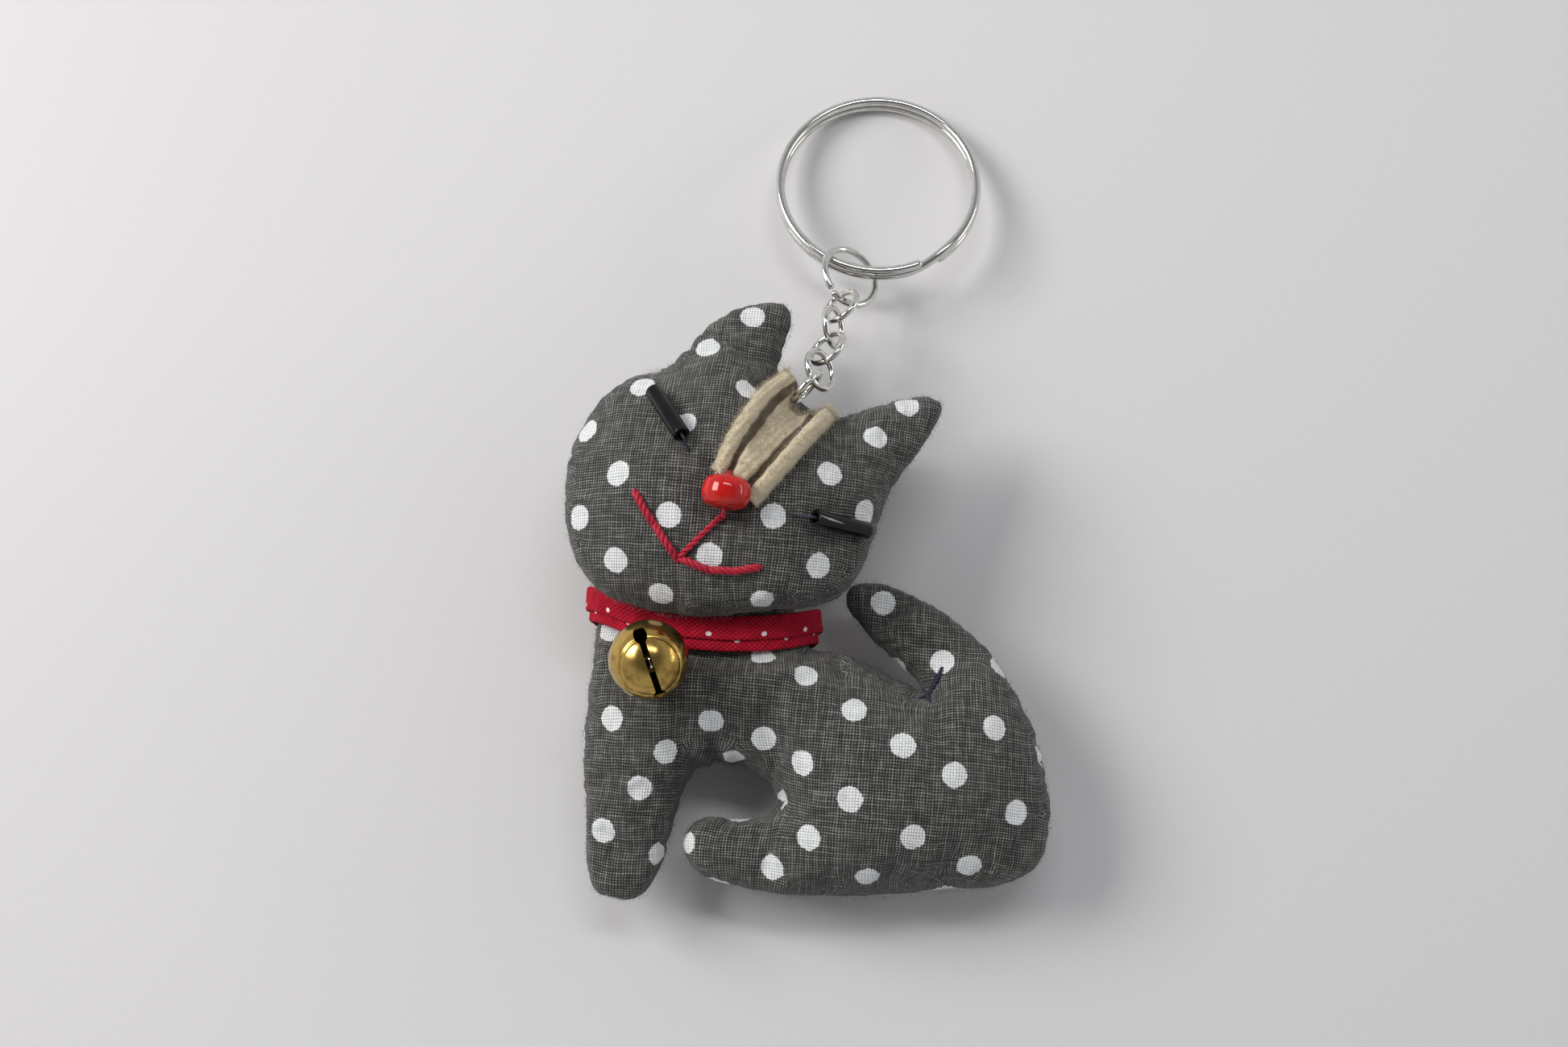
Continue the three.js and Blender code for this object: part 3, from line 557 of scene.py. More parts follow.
def thread(name, low, high, rough):
    """Spun thread or loose hair."""
    n = Nodes(name)
    at = n.place()
    hair = n.noise(at, 9.0, 4.0, 0.6)
    fine = n.noise(at, 28.0, 2.0)
    mix = n.add(n.mul(hair, 0.6), n.mul(fine, 0.4))
    return n.set(color=n.mix(n.ramp(mix, 0.3, 0.7), low, high), rough=rough, sheen=0.15,
                 sheen_rough=0.4, specular=0.4, normal=n.bump(mix, 0.00004, 0.6))


def plated(name, low, high, rough, grime=0.35):
    """Polished plate with fine scratches and a duller film in places."""
    n = Nodes(name)
    at = n.place()
    film = n.noise(at, 0.7, 4.0, 0.6)
    scratch = n.noise(at, 6.0, 3.0, 0.7, stretch=(1.0, 5.0, 1.0))
    dull = n.ramp(film, 0.42, 0.72)
    color = n.mix(n.mul(dull, grime), high, low)
    r = n.mul_add(dull, 0.12, rough)
    r = n.add(r, n.mul(n.ramp(scratch, 0.55, 0.75), 0.06))
    return n.set(color=color, metal=1.0, rough=r, normal=n.bump(scratch, 0.00001, 0.15))


def glass_bead(name, low, high, rough, level):
    """Opaque pressed glass."""
    n = Nodes(name)
    at = n.place()
    swirl = n.noise(at, 0.55, 3.0, 0.5)
    ripple = n.noise(at, 1.4, 2.0)
    return n.set(color=n.mix(n.ramp(swirl, 0.35, 0.7), low, high), rough=rough,
                 specular=level, ior=1.5, normal=n.bump(ripple, 0.00003, 0.25))


HEAD_COTTON = dotted_cotton("head_cotton", 0.25)
BODY_COTTON = dotted_cotton("body_cotton", 0.3)
COLLAR_COTTON = specked_cotton(
    "collar_cotton", (0.22, 0.0015, 0.010), (0.55, 0.006, 0.032), 0.40, math.radians(45),
    5.6, 0.30)
STUFFING = wool("stuffing_fibre", (0.62, 0.60, 0.56), (0.88, 0.86, 0.82))
FELT = wool("wool_felt", (0.46, 0.37, 0.23), (0.76, 0.67, 0.49))
LINT = thread("lint", (0.55, 0.53, 0.49), (0.85, 0.83, 0.80), 0.7)
COTTON_FUZZ = thread("cotton_fuzz", (0.12, 0.11, 0.10), (0.30, 0.29, 0.26), 0.8)
RED_THREAD = thread("red_thread", (0.28, 0.002, 0.014), (0.54, 0.006, 0.036), 0.5)
DARK_THREAD = thread("dark_thread", (0.006, 0.008, 0.02), (0.03, 0.036, 0.07), 0.55)
BLACK_GLASS = glass_bead("black_glass", (0.001, 0.001, 0.001), (0.004, 0.004, 0.005), 0.04, 0.32)
RED_GLASS = glass_bead("red_glass", (0.44, 0.008, 0.007), (0.58, 0.016, 0.012), 0.08, 0.45)
BRASS = plated("brass", (0.20, 0.11, 0.025), (0.52, 0.345, 0.095), 0.17, 0.75)
# A darker, duller copy of the brass for the bell's inner faces: painted shade inside the hollow.
BRASS_PAINTED_SHADE = plated("brass_inside_painted_shade", (0.05, 0.028, 0.008), (0.16, 0.09, 0.02), 0.4, 0.8)
NICKEL = plated("nickel", (0.36, 0.35, 0.32), (0.74, 0.73, 0.69), 0.09)


# ---- cushions


def inside(outline, p):
    """Whether each point is inside a closed outline."""
    x, y = p[:, 0], p[:, 1]
    hit = np.zeros(len(p), bool)
    for (ax, ay), (bx, by) in zip(outline, np.roll(outline, -1, 0)):
        cross = (ay > y) != (by > y)
        with np.errstate(divide="ignore", invalid="ignore"):
            at = (bx - ax) * (y - ay) / (by - ay) + ax
        hit ^= cross & (x < at)
    return hit


def rim_distance(outline, p):
    """Distance to an outline, and how far along it the nearest place is."""
    best, where = np.full(len(p), np.inf), np.zeros(len(p))
    run = 0.0
    for a, b in zip(outline, np.roll(outline, -1, 0)):
        d = b - a
        size = np.linalg.norm(d)
        t = np.clip(((p - a) @ d) / (size * size), 0, 1)
        away = np.linalg.norm(p - a - t[:, None] * d, axis=1)
        closer = away < best
        best[closer], where[closer] = away[closer], run + t[closer] * size
        run += size
    return best, where


def smoothed(values, edges, count, fixed, passes):
    """Averages a value over its neighbours, leaving fixed points alone."""
    out = np.array(values, float)
    one = out.ndim == 1
    if one:
        out = out[:, None]
    i, j = edges.T
    degree = np.maximum(np.bincount(np.r_[i, j], minlength=count), 1)[:, None]
    for _ in range(passes):
        total = np.zeros_like(out)
        for k in range(out.shape[1]):
            total[:, k] = np.bincount(i, out[j, k], count) + np.bincount(j, out[i, k], count)
        new = 0.5 * out + 0.5 * total / degree
        out = np.where(fixed[:, None], out, new)
    return out[:, 0] if one else out


def collar_y(x):
    """Where the middle of the collar runs across the neck."""
    return -20.7 + 0.015 * (x + 10) ** 2


def smoothstep(t):
    t = np.clip(t, 0, 1)
    return t * t * (3 - 2 * t)


def body_squeeze(p):
    """How far the body rises as a share of its free height: less under the collar."""
    away = np.abs(p[:, 1] - collar_y(p[:, 0])) - 2.7
    return 0.58 + 0.42 * smoothstep(away / 3.6)


def head_squeeze(p):
    """The same for the head: less under the nose and at the felt's upper end."""
    out = np.ones(len(p))
    for x, y, radius, depth in ((-10.2, -4.6, 3.2, 0.14), (-1.1, 9.4, 3.4, 0.97)):
        away = np.hypot(p[:, 0] - x, p[:, 1] - y) / radius
        out *= 1 - depth * np.exp(-away * away)
    return out


def edges_of(tris):
    """Each edge of some triangles once."""
    pairs = np.vstack([tris[:, [0, 1]], tris[:, [1, 2]], tris[:, [2, 0]]])
    return np.unique(np.sort(pairs, axis=1), axis=0)


def flattened(verts, tris):
    """Lays a panel out flat with its edges kept as long as they are on the cushion."""
    edges = edges_of(tris)
    i, j = edges.T
    long = np.linalg.norm(verts[i] - verts[j], axis=1)
    flat = verts[:, :2].copy()
    degree = np.maximum(np.bincount(np.r_[i, j], minlength=len(verts)), 1)[:, None]
    for _ in range(700):
        d = flat[i] - flat[j]
        now = np.maximum(np.linalg.norm(d, axis=1), 1e-6)
        push = (0.5 * (long - now) / now)[:, None] * d
        move = np.zeros_like(flat)
        for k in (0, 1):
            move[:, k] = (np.bincount(i, push[:, k], len(verts))
                          - np.bincount(j, push[:, k], len(verts)))
        flat += 1.6 * move / degree
    return flat


def inflate(name, verts, faces, pins, frames=20):
    """Blows a sewn form up as cloth, at a size the solver is steady at, and gives its points."""
    scale = 0.02
    mesh = bpy.data.meshes.new(name + "_cloth")
    mesh.from_pydata((verts * scale).tolist(), [], [list(f) for f in faces])
    obj = bpy.data.objects.new(name + "_cloth", mesh)
    scene = bpy.context.scene
    scene.collection.objects.link(obj)
    group = obj.vertex_groups.new(name="pins")
    for index, weight in enumerate(pins):
        if weight > 0:
            group.add([index], float(weight), "REPLACE")
    cloth = obj.modifiers.new("cloth", "CLOTH")
    s = cloth.settings
    s.quality = 6
    s.mass = 0.15
    s.tension_stiffness = s.compression_stiffness = 14
    s.shear_stiffness = 8
    s.bending_stiffness = 0.35
    s.use_pressure = True
    s.uniform_pressure_force = 4.0
    s.shrink_min = s.shrink_max = -0.055
    s.vertex_group_mass = "pins"
    s.effector_weights.gravity = 0.0
    cloth.collision_settings.use_self_collision = False
    cloth.collision_settings.use_collision = False
    scene.frame_start, scene.frame_end = 1, frames
    cloth.point_cache.frame_start, cloth.point_cache.frame_end = 1, frames
    for f in range(1, frames + 1):
        scene.frame_set(f)
    dg = bpy.context.evaluated_depsgraph_get()
    done = obj.evaluated_get(dg)
    out = np.array([v.co[:] for v in done.data.vertices]) / scale
    bpy.data.objects.remove(obj)
    bpy.data.meshes.remove(mesh)
    scene.frame_set(1)
    return out


def print_distance(points, at, dots):
    """How far each point of a panel is from the nearest printed dot, straight through space.

    A dot that lies past the panel's edge is bent down round the seam.
    """
    best = np.full(len(points), 99.0)
    for dot in dots:
        k = np.argmin(((at - dot) ** 2).sum(1))
        past = np.array(dot) - at[k]
        size = np.linalg.norm(past)
        centre = points[k].copy()
        if size > 0.9:
            centre[:2] += past * 0.35
            centre[2] -= 0.8 * size * np.sign(points[:, 2].mean() - points[k, 2])
        best = np.minimum(best, np.linalg.norm(points - centre, axis=1))
    return best


def cushion(name, outline, size, squeeze, material, step, cap, calm, dents, dots, lattice):
    """A stuffed, sewn form of two panels.

    step is the mesh's spacing and cap the most that the cloth may move. calm are (x, y, radius)
    places that something is sewn to. dots are the front's print and lattice the back's.
    """
    rim = spaced(catmull(np.array(outline, float), True), step, closed=True)
    lo, hi = rim.min(0), rim.max(0)
    rows = np.arange(lo[1], hi[1], step * 0.866)
    grid = np.array([(x, y) for k, y in enumerate(rows)
                     for x in np.arange(lo[0] + (k % 2) * step / 2, hi[0], step)])
    grid += RNG.uniform(-0.08, 0.08, grid.shape) * step
    away, _ = rim_distance(rim, grid)
    grid = grid[inside(rim, grid) & (away > 0.6 * step)]
    n = len(rim)
    points = np.vstack([rim, grid])
    found = delaunay_2d_cdt(
        [Vector(p) for p in points], [(k, (k + 1) % n) for k in range(n)], [], 0, 1e-6)
    at = np.array([v[:] for v in found[0]])
    tris = np.array([f for f in found[2] if len(f) == 3])
    tris = tris[inside(rim, at[tris].mean(1))]
    is_rim = np.array([any(k < n for k in origin) for origin in found[3]])
    used = np.zeros(len(at), bool)
    used[tris] = True
    new = np.cumsum(used) - 1
    at, is_rim, tris = at[used], is_rim[used], new[tris]
    d1, d2 = at[tris[:, 1]] - at[tris[:, 0]], at[tris[:, 2]] - at[tris[:, 0]]
    turned = d1[:, 0] * d2[:, 1] - d1[:, 1] * d2[:, 0] < 0
    tris[turned] = tris[turned][:, [0, 2, 1]]
    count = len(at)
    edges = edges_of(tris)

    # The rise of an inflated form is the root of a Poisson solution over its outline.
    i, j = edges.T
    long = ((at[i] - at[j]) ** 2).sum(1)
    inner = np.flatnonzero(~is_rim)
    place = np.full(count, -1)
    place[inner] = np.arange(len(inner))
    lap = np.zeros((len(inner), len(inner)))
    spread = np.zeros(count)
    for a, b in ((i, j), (j, i)):
        np.add.at(spread, a, long)
        keep = place[a] >= 0
        np.add.at(lap, (place[a[keep]], place[a[keep]]), 1.0)
        both = keep & (place[b] >= 0)
        np.add.at(lap, (place[a[both]], place[b[both]]), -1.0)
    level = np.zeros(count)
    level[inner] = np.linalg.solve(lap, spread[inner] / 4)
    rise = np.sqrt(np.maximum(level, 0)) * squeeze(at)
    seam = size["seam"] + size["slope"] * at[:, 1]
    away, where = rim_distance(rim, at)
    top = seam + size["front"] * rise + SKIN * (1 - np.exp(-away / 0.8))
    low = seam - size["back"] * rise - SKIN * (1 - np.exp(-away / 0.8))

    # The CAD panels say how high it really stands, so that what is sewn to it fits.
    row_at = at + SHIFT
    for panel, values, down in ((f"{name}_front_panel", top, -1), (f"{name}_back_panel", low, 1)):
        tree = tree_of(panel)
        diff, seen = np.zeros(count), np.zeros(count, bool)
        for k, (x, y) in enumerate(row_at):
            hit = tree.ray_cast(Vector((x, y, -down * 90.0)), Vector((0, 0, down)))[0]
            if hit is not None and away[k] > 1.2:
                diff[k], seen[k] = hit.z - values[k], True
        values += smoothed(np.where(seen, diff, 0), edges, count, is_rim, 30)
    low = np.maximum(low, 0.0)

    # Front and back share the rim.
    back_of = np.arange(count)
    back_of[inner] = count + np.arange(len(inner))
    verts = np.vstack([np.c_[at, np.where(is_rim, seam, top)], np.c_[at[inner], low[inner]]])
    back_tris = back_of[tris][:, [0, 2, 1]]
    faces = np.vstack([tris, back_tris])
    away2 = np.r_[away, away[inner]]
    where2 = np.r_[where, where[inner]]
    start = verts.copy()

    keep = np.ones(len(verts))
    for x, y, r in calm:
        keep *= 1 - 0.85 * np.exp(-((start[:, 0] - x) ** 2 + (start[:, 1] - y) ** 2) / r ** 2)
    if name == "body":
        keep *= 1 - 0.95 * np.exp(-((start[:, 1] - collar_y(start[:, 0])) / 2.4) ** 2)
    pins = np.where(np.r_[is_rim, np.zeros(len(inner), bool)], 1.0, 0.0)
    pins = np.maximum(pins, np.where(keep < 0.2, 0.9, 0.0))
    blown = inflate(name, verts, faces, pins)
    move = blown - verts
    size_of = np.linalg.norm(move, axis=1, keepdims=True)
    soft = cap * np.tanh(size_of / cap) / np.maximum(size_of, 1e-9)
    verts = verts + move * soft * keep[:, None]

    # Puckers run in from the seam, deepest where the outline turns inwards.
    ahead, behind = np.roll(rim, -4, 0), np.roll(rim, 4, 0)
    e1, e2 = unit(rim - behind), unit(ahead - rim)
    bend = np.arcsin(np.clip(e1[:, 0] * e2[:, 1] - e1[:, 1] * e2[:, 0], -1, 1)) / (4 * step)
    run = np.arange(n) * step
    hollow = np.interp(where2, run, np.clip(-bend * 5, 0, 1.2))
    beat = np.interp(where2, run, np.cumsum(RNG.uniform(0.75, 1.3, n)) * step / 2.5)
    wave = np.sin(2 * math.pi * beat) * np.exp(-away2 / (1.3 + 1.6 * hollow))
    normal = vertex_normals(verts, faces)
    up = (0.07 + 0.26 * hollow) * wave
    up[:count][is_rim] *= 0.3
    verts = verts + normal * up[:, None]
    lump = (np.sin(verts[:, 0] * 0.71 + 1.3) * np.sin(verts[:, 1] * 0.83 + 0.4)
            + 0.6 * np.sin(verts[:, 0] * 1.37 - verts[:, 1] * 1.13 + 2.0)
            + 0.35 * np.sin(verts[:, 0] * 2.3 + verts[:, 1] * 1.9))
    verts = verts + normal * (0.09 * lump * keep * np.clip(away2 / 3, 0, 1))[:, None]
    for x, y, r, depth, stretch in dents:
        ax, ay = math.cos(stretch[1]), math.sin(stretch[1])
        dx, dy = verts[:, 0] - x, verts[:, 1] - y
        u, v = (dx * ax + dy * ay) / stretch[0], -dx * ay + dy * ax
        front = normal[:, 2] > 0
        verts[:, 2] -= np.where(front, depth * np.exp(-(u * u + v * v) / r ** 2), 0)
    verts[:, 2] = np.maximum(verts[:, 2], 0.03)
    # Where the head and the body press on each other, each stays on its side of a slope.
    if name == "body":
        limit = PRESS["z"] + (verts[:, 1] - PRESS["y"]) * PRESS["slope"] - 0.25
        limit = np.maximum(limit, size["seam"])
        near = verts[:, 1] > PRESS["y"] - 3
        verts[:, 2] = np.where(near, np.minimum(verts[:, 2], limit), verts[:, 2])
    else:
        limit = PRESS["z"] + (verts[:, 1] - PRESS["y"]) * PRESS["slope"] + 0.25
        limit = np.minimum(limit, size["seam"] + size["slope"] * verts[:, 1])
        under = normal[:, 2] < 0
        verts[:, 2] = np.where(under, np.maximum(verts[:, 2], limit), verts[:, 2])

    # Each panel is laid out flat by itself, and carries its own print.
    flat_front = flattened(verts[:count], tris)
    flat_back = flattened(verts[back_of], tris) * (-1, 1)
    m = np.array(lattice).T
    grid = np.array([(i, j) for i in range(-14, 15) for j in range(-14, 15)]) @ m.T + at.mean(0)
    gap, _ = rim_distance(rim, grid)
    grid = grid[inside(rim, grid) | (gap < 1.2)]
    front_print = np.c_[flat_front, print_distance(verts[:count], at, dots)]
    back_print = np.c_[flat_back, print_distance(verts[back_of], at, grid)]
    placed = verts.copy()
    placed[:, :2] += SHIFT
    obj = make(f"{name}_cushion", placed, faces, material, "plush", "dotted_cotton",
               cad=(f"{name}_front_panel", f"{name}_back_panel"))
    corner = np.vstack([front_print[tris.ravel()], back_print[tris[:, [0, 2, 1]].ravel()]])
    store(obj, "pattern", "CORNER", corner)
    sub = obj.modifiers.new("smooth", "SUBSURF")
    sub.levels = sub.render_levels = 1
    applied(obj)
    rim_line = np.c_[rim + SHIFT, size["seam"] + size["slope"] * rim[:, 1]]
    return obj, rim_line, placed, faces


def vertex_normals(verts, faces):
    """Outward directions from triangles' corners, weighted by area."""
    a, b, c = verts[faces[:, 0]], verts[faces[:, 1]], verts[faces[:, 2]]
    n = np.cross(b - a, c - a)
    out = np.zeros_like(verts)
    for k in range(3):
        np.add.at(out, faces[:, k], n)
    return unit(out)


# Hollows pulled into the cloth: place, radius, depth, and (stretch, direction)
tack_dents = [
    (15.3, -27.8, 1.9, 1.7, (1.0, 0.0)),
    (16.0, -32.4, 1.2, 0.95, (3.6, math.radians(-83))),
    (17.3, -24.2, 1.4, 0.6, (1.0, 0.0)),
    (12.6, -29.2, 0.8, 0.35, (3.0, math.radians(28))),
    (19.5, -28.6, 0.7, 0.3, (3.2, math.radians(-18))),
    (-15.6, -33.4, 1.7, 0.7, (2.6, math.radians(58))),
    (-12.0, -34.2, 0.9, 0.35, (2.6, math.radians(20))),
    (-4.2, -36.4, 0.9, 0.3, (2.8, math.radians(70))),
    (-1.6, -43.6, 1.0, 0.45, (3.0, math.radians(-25))),
    (-24.6, -26.5, 0.9, 0.25, (3.5, math.radians(80))),
    (-17.8, -26.8, 0.8, 0.3, (3.0, math.radians(-62))),
    (22.5, -46.5, 1.2, 0.3, (3.0, math.radians(35))),
    (8.0, -49.8, 0.8, 0.22, (3.0, math.radians(84))),
]
body, body_rim, body_verts, body_faces = cushion(
    "body", BODY_OUTLINE, BODY, body_squeeze, BODY_COTTON, 0.85, 1.1,
    [(-19.9, -24.7, 4.0)], tack_dents, BODY_DOTS, BODY_LATTICE)
face_dents = [
    (-20.2, -18.2, 3.2, 0.75, (1.5, 0.0)),
    (-16.2, -15.2, 0.6, 0.45, (3.2, math.radians(-86))),
    (-13.4, -15.9, 0.5, 0.22, (3.0, math.radians(-60))),
    (-19.4, -13.6, 0.6, 0.22, (3.0, math.radians(62))),
    (-9.0, -15.0, 0.6, 0.2, (3.4, math.radians(-20))),
    (-24.6, 2.2, 0.8, 0.2, (3.2, math.radians(30))),
    (9.8, 1.2, 0.8, 0.25, (3.4, math.radians(48))),
    (-9.6, 13.5, 0.8, 0.22, (3.4, math.radians(62))),
    (-21.7, -3.9, 1.0, 0.35, (1.0, 0.0)), (-19.2, -8.0, 0.9, 0.3, (1.0, 0.0)),
    (-16.4, -12.3, 1.5, 0.6, (1.0, 0.0)), (-12.2, -13.8, 0.9, 0.3, (1.0, 0.0)),
    (-6.1, -13.4, 1.0, 0.35, (1.0, 0.0)), (-14.7, 0.7, 0.9, 0.4, (1.0, 0.0)),
    (-3.0, -6.8, 0.9, 0.4, (1.0, 0.0)),
]
head, head_rim, head_verts, head_faces = cushion(
    "head", HEAD_OUTLINE, HEAD, head_squeeze, HEAD_COTTON, 0.72, 0.9,
    [(-10.2, -4.6, 3.5), (-17.8, 6.2, 3.5), (4.2, -7.9, 3.8), (-5, 3, 5.5), (-1.5, 9, 4.0),
     (-14, -10, 3.5), (-19, -8, 3.0), (-9, -13.6, 3.5), (-20, -17, 6.0)],
    face_dents, HEAD_DOTS, HEAD_LATTICE)


HEAD_TREE, BODY_TREE = surface_of(head), surface_of(body)


def on_top(tree, x, y, otherwise=10.0):
    """The height of a cushion's front at a place in the row frame."""
    hit = tree.ray_cast(Vector((x, y, 90.0)), Vector((0, 0, -1)))[0]
    return otherwise if hit is None else hit.z


def over(tree, corners, lift, step=0.5, dive=0.0):
    """A line that follows a cushion, lifted off it, and diving into it at its two ends."""
    flat = catmull([row(*c) for c in corners], False, 10)
    flat = spaced(flat, step)
    z = np.array([on_top(tree, *p) for p in flat])
    line = np.c_[flat, z + lift]
    run = np.r_[0, np.cumsum(np.linalg.norm(np.diff(flat, axis=0), axis=1))]
    ends = np.minimum(run, run[-1] - run)
    line[:, 2] -= dive * np.exp(-ends / 0.45)
    return line


# ---- stuffing


def stuffing(name, verts, faces, shrink):
    """A lumpy filling just inside a cushion's cloth."""
    normal = vertex_normals(verts, faces)
    inner = verts - normal * shrink
    wave = (np.sin(inner[:, 0] * 1.3 + 1.1) * np.sin(inner[:, 1] * 1.1 + 0.4)
            + 0.6 * np.sin(inner[:, 0] * 2.7 - inner[:, 1] * 2.3))
    inner = inner - normal * (0.25 + 0.2 * wave)[:, None]
    mid = verts[:, 2].copy()
    inner[:, 2] = np.where(normal[:, 2] > 0, np.minimum(inner[:, 2], mid - 0.3),
                           np.maximum(inner[:, 2], mid + 0.3))
    piece = make(f"{name}_fibre_filling", inner, faces, STUFFING, "plush", "stuffing",
                 cad=(f"{name}_stuffing",))
    return piece


stuffing("body", body_verts, body_faces, 0.7)
stuffing("head", head_verts, head_faces, 0.7)


# ---- fibres


def fibres(name, roots, directions, lengths, radius, material, body, slot, curl=0.5):
    """Fine bent hairs, each a three-sided tapering sliver."""
    verts, faces = [], []
    for root, way, long in zip(roots, directions, lengths):
        way = unit(way)
        side = unit(np.cross(way, RNG.normal(size=3)))
        other = np.cross(way, side)
        bend = side * RNG.uniform(-curl, curl) + other * RNG.uniform(-curl, curl)
        base = len(verts)
        for k in range(4):
            t = k / 3
            c = root + long * (way * t + bend * t * t * 0.6)
            r = radius * (1 - 0.75 * t)
            for m in range(3):
                a = 2 * math.pi * m / 3
                verts.append(c + r * (side * math.cos(a) + other * math.sin(a)))
        for k in range(3):
            for m in range(3):
                q = (m + 1) % 3
                faces.append((base + 3 * k + m, base + 3 * k + q,
                              base + 3 * k + 3 + q, base + 3 * k + 3 + m))
        faces.append((base + 2, base + 1, base))
        faces.append((base + 9, base + 10, base + 11))
    return make(name, verts, faces, material, body, slot)


def seam_fuzz(name, rim, count):
    """Short fibres that stand out of the seam."""
    pick = RNG.integers(0, len(rim), count)
    t = unit(np.roll(rim, -1, 0) - np.roll(rim, 1, 0))[pick]
    out = np.c_[t[:, 1], -t[:, 0], np.zeros(count)]
    roots = rim[pick] + t * RNG.uniform(-0.4, 0.4, (count, 1)) - out * 0.1
    ways = out + RNG.normal(scale=0.65, size=(count, 3))
    return fibres(name, roots, ways, RNG.uniform(0.25, 0.75, count) ** 1.3, 0.02,
                  COTTON_FUZZ, "plush", "dotted_cotton")


seam_fuzz("body_seam_fuzz", body_rim, 1500)
seam_fuzz("head_seam_fuzz", head_rim, 1100)


def lint():
    """Loose pale hairs that cling to the cloth, with a small tuft beside the left ear."""
    roots, ways = [], []
    for tree, (x0, x1, y0, y1), count in (
            (HEAD_TREE, (-28, 12, -16, 20), 90), (BODY_TREE, (-27, 28, -50, -24), 90)):
        for _ in range(count):
            x, y = RNG.uniform(x0, x1), RNG.uniform(y0, y1)
            z = on_top(tree, x, y, None)
            if z is not None:
                roots.append((x, y, z + 0.03))
                a = RNG.uniform(0, 2 * math.pi)
                ways.append((math.cos(a), math.sin(a), RNG.uniform(0.0, 0.35)))
    for _ in range(110):
        x, y = row(-20.2 + RNG.normal(scale=0.8), 13.0 + RNG.normal(scale=0.45))
        z = on_top(HEAD_TREE, x, y, None)
        if z is not None:
            roots.append((x, y, z))
            ways.append(RNG.normal(size=3) * (1, 1, 0.4) + (0, 0.4, 0.5))
    count = len(roots)
    return fibres("lint_hairs", np.array(roots), np.array(ways), RNG.uniform(0.5, 1.6, count),
                  0.012, LINT, "plush", "stuffing", curl=1.2)


lint()


# ---- collar


def collar():
    """A strip of cotton folded in three along its length and sewn round the neck."""
    # Across the strip: place along the neck, and distance out from it
    path = catmull([
        (1.9, 0.10), (0.4, 0.10), (-1.4, 0.12), (-2.12, 0.18), (-2.26, 0.32), (-2.1, 0.46),
        (-1.2, 0.44), (0.6, 0.44), (1.9, 0.46), (2.18, 0.56), (2.2, 0.74), (1.9, 0.86),
        (0.8, 0.88), (-0.3, 0.88), (-0.72, 0.84), (-0.86, 0.72)], False, 6)
    path = spaced(path, 0.22)
    steps = 300
    angle = np.linspace(0, 2 * math.pi, steps, endpoint=False)
    verts = []
    round_it, before = 0.0, None
    for t in angle:
        high = COLLAR["top"] if math.sin(t) > 0 else COLLAR["bottom"]
        x = COLLAR["x"] + COLLAR["half"] * math.cos(t)
        z = BODY["seam"] + high * math.sin(t)
        out = unit((high * math.cos(t), COLLAR["half"] * math.sin(t)))
        here = np.array([x, z])
        if before is not None:
            round_it += np.linalg.norm(here - before)
        before = here
        ripple = (0.10 * math.sin(7 * t + 0.8) + 0.06 * math.sin(17 * t)
                  + 0.03 * math.sin(41 * t))
        pinch = math.exp(-((x + 19.6) / 1.2) ** 2) if math.sin(t) > 0 else 0.0
        for w, o in path:
            wide = w * (1 - 0.16 * pinch) + 0.08 * math.sin(5 * t + 1.3)
            lift = o + ripple * (0.45 if w > 0 else 1.0) * (0.3 + o)
            lift += 0.05 * math.sin(29 * t + 2 * w)
            if o > 0.6 and w < 0.2:
                lift += 0.10 * math.sin(11 * t) * (0.2 - w)
            lift = max(lift * (1 - 0.35 * pinch), 0.04)
            verts.append((x + out[0] * lift, collar_y(x) + wide, z + out[1] * lift))
    round_it += np.linalg.norm(np.array([COLLAR["x"] + COLLAR["half"], BODY["seam"]]) - before)
    verts = np.array(verts)
    verts[:, :2] += SHIFT
    verts[:, 2] = np.maximum(verts[:, 2], 0.05)
    m = len(path)
    run = np.r_[0, np.cumsum(np.linalg.norm(np.diff(path, axis=0), axis=1))]
    faces = [(i * m + k, i * m + k + 1, ((i + 1) % steps) * m + k + 1, ((i + 1) % steps) * m + k)
             for i in range(steps) for k in range(m - 1)]
    obj = make("collar_strip", verts, faces, COLLAR_COTTON, "plush", "collar_cotton",
               cad=("collar_band",))
    flat = np.array([(round_it * i / steps, w, 0) for i in range(steps) for w in run])
    store(obj, "pattern", "POINT", flat)
    thicken(obj, 0.00016, 0.0)


collar()


# ---- felt


def seen_heights(node, places):
    """The top of a CAD node along a line of places, with the misses filled in."""
    tree = tree_of(node)
    hits = [tree.ray_cast(Vector((*p, 90.0)), Vector((0, 0, -1)))[0] for p in places]
    z = np.array([np.nan if h is None else h.z for h in hits])
    ok = ~np.isnan(z)
    z = np.interp(np.arange(len(z)), np.flatnonzero(ok), z[ok])
    for _ in range(12):
        z[1:-1] = 0.5 * z[1:-1] + 0.25 * (z[:-2] + z[2:])
    return z


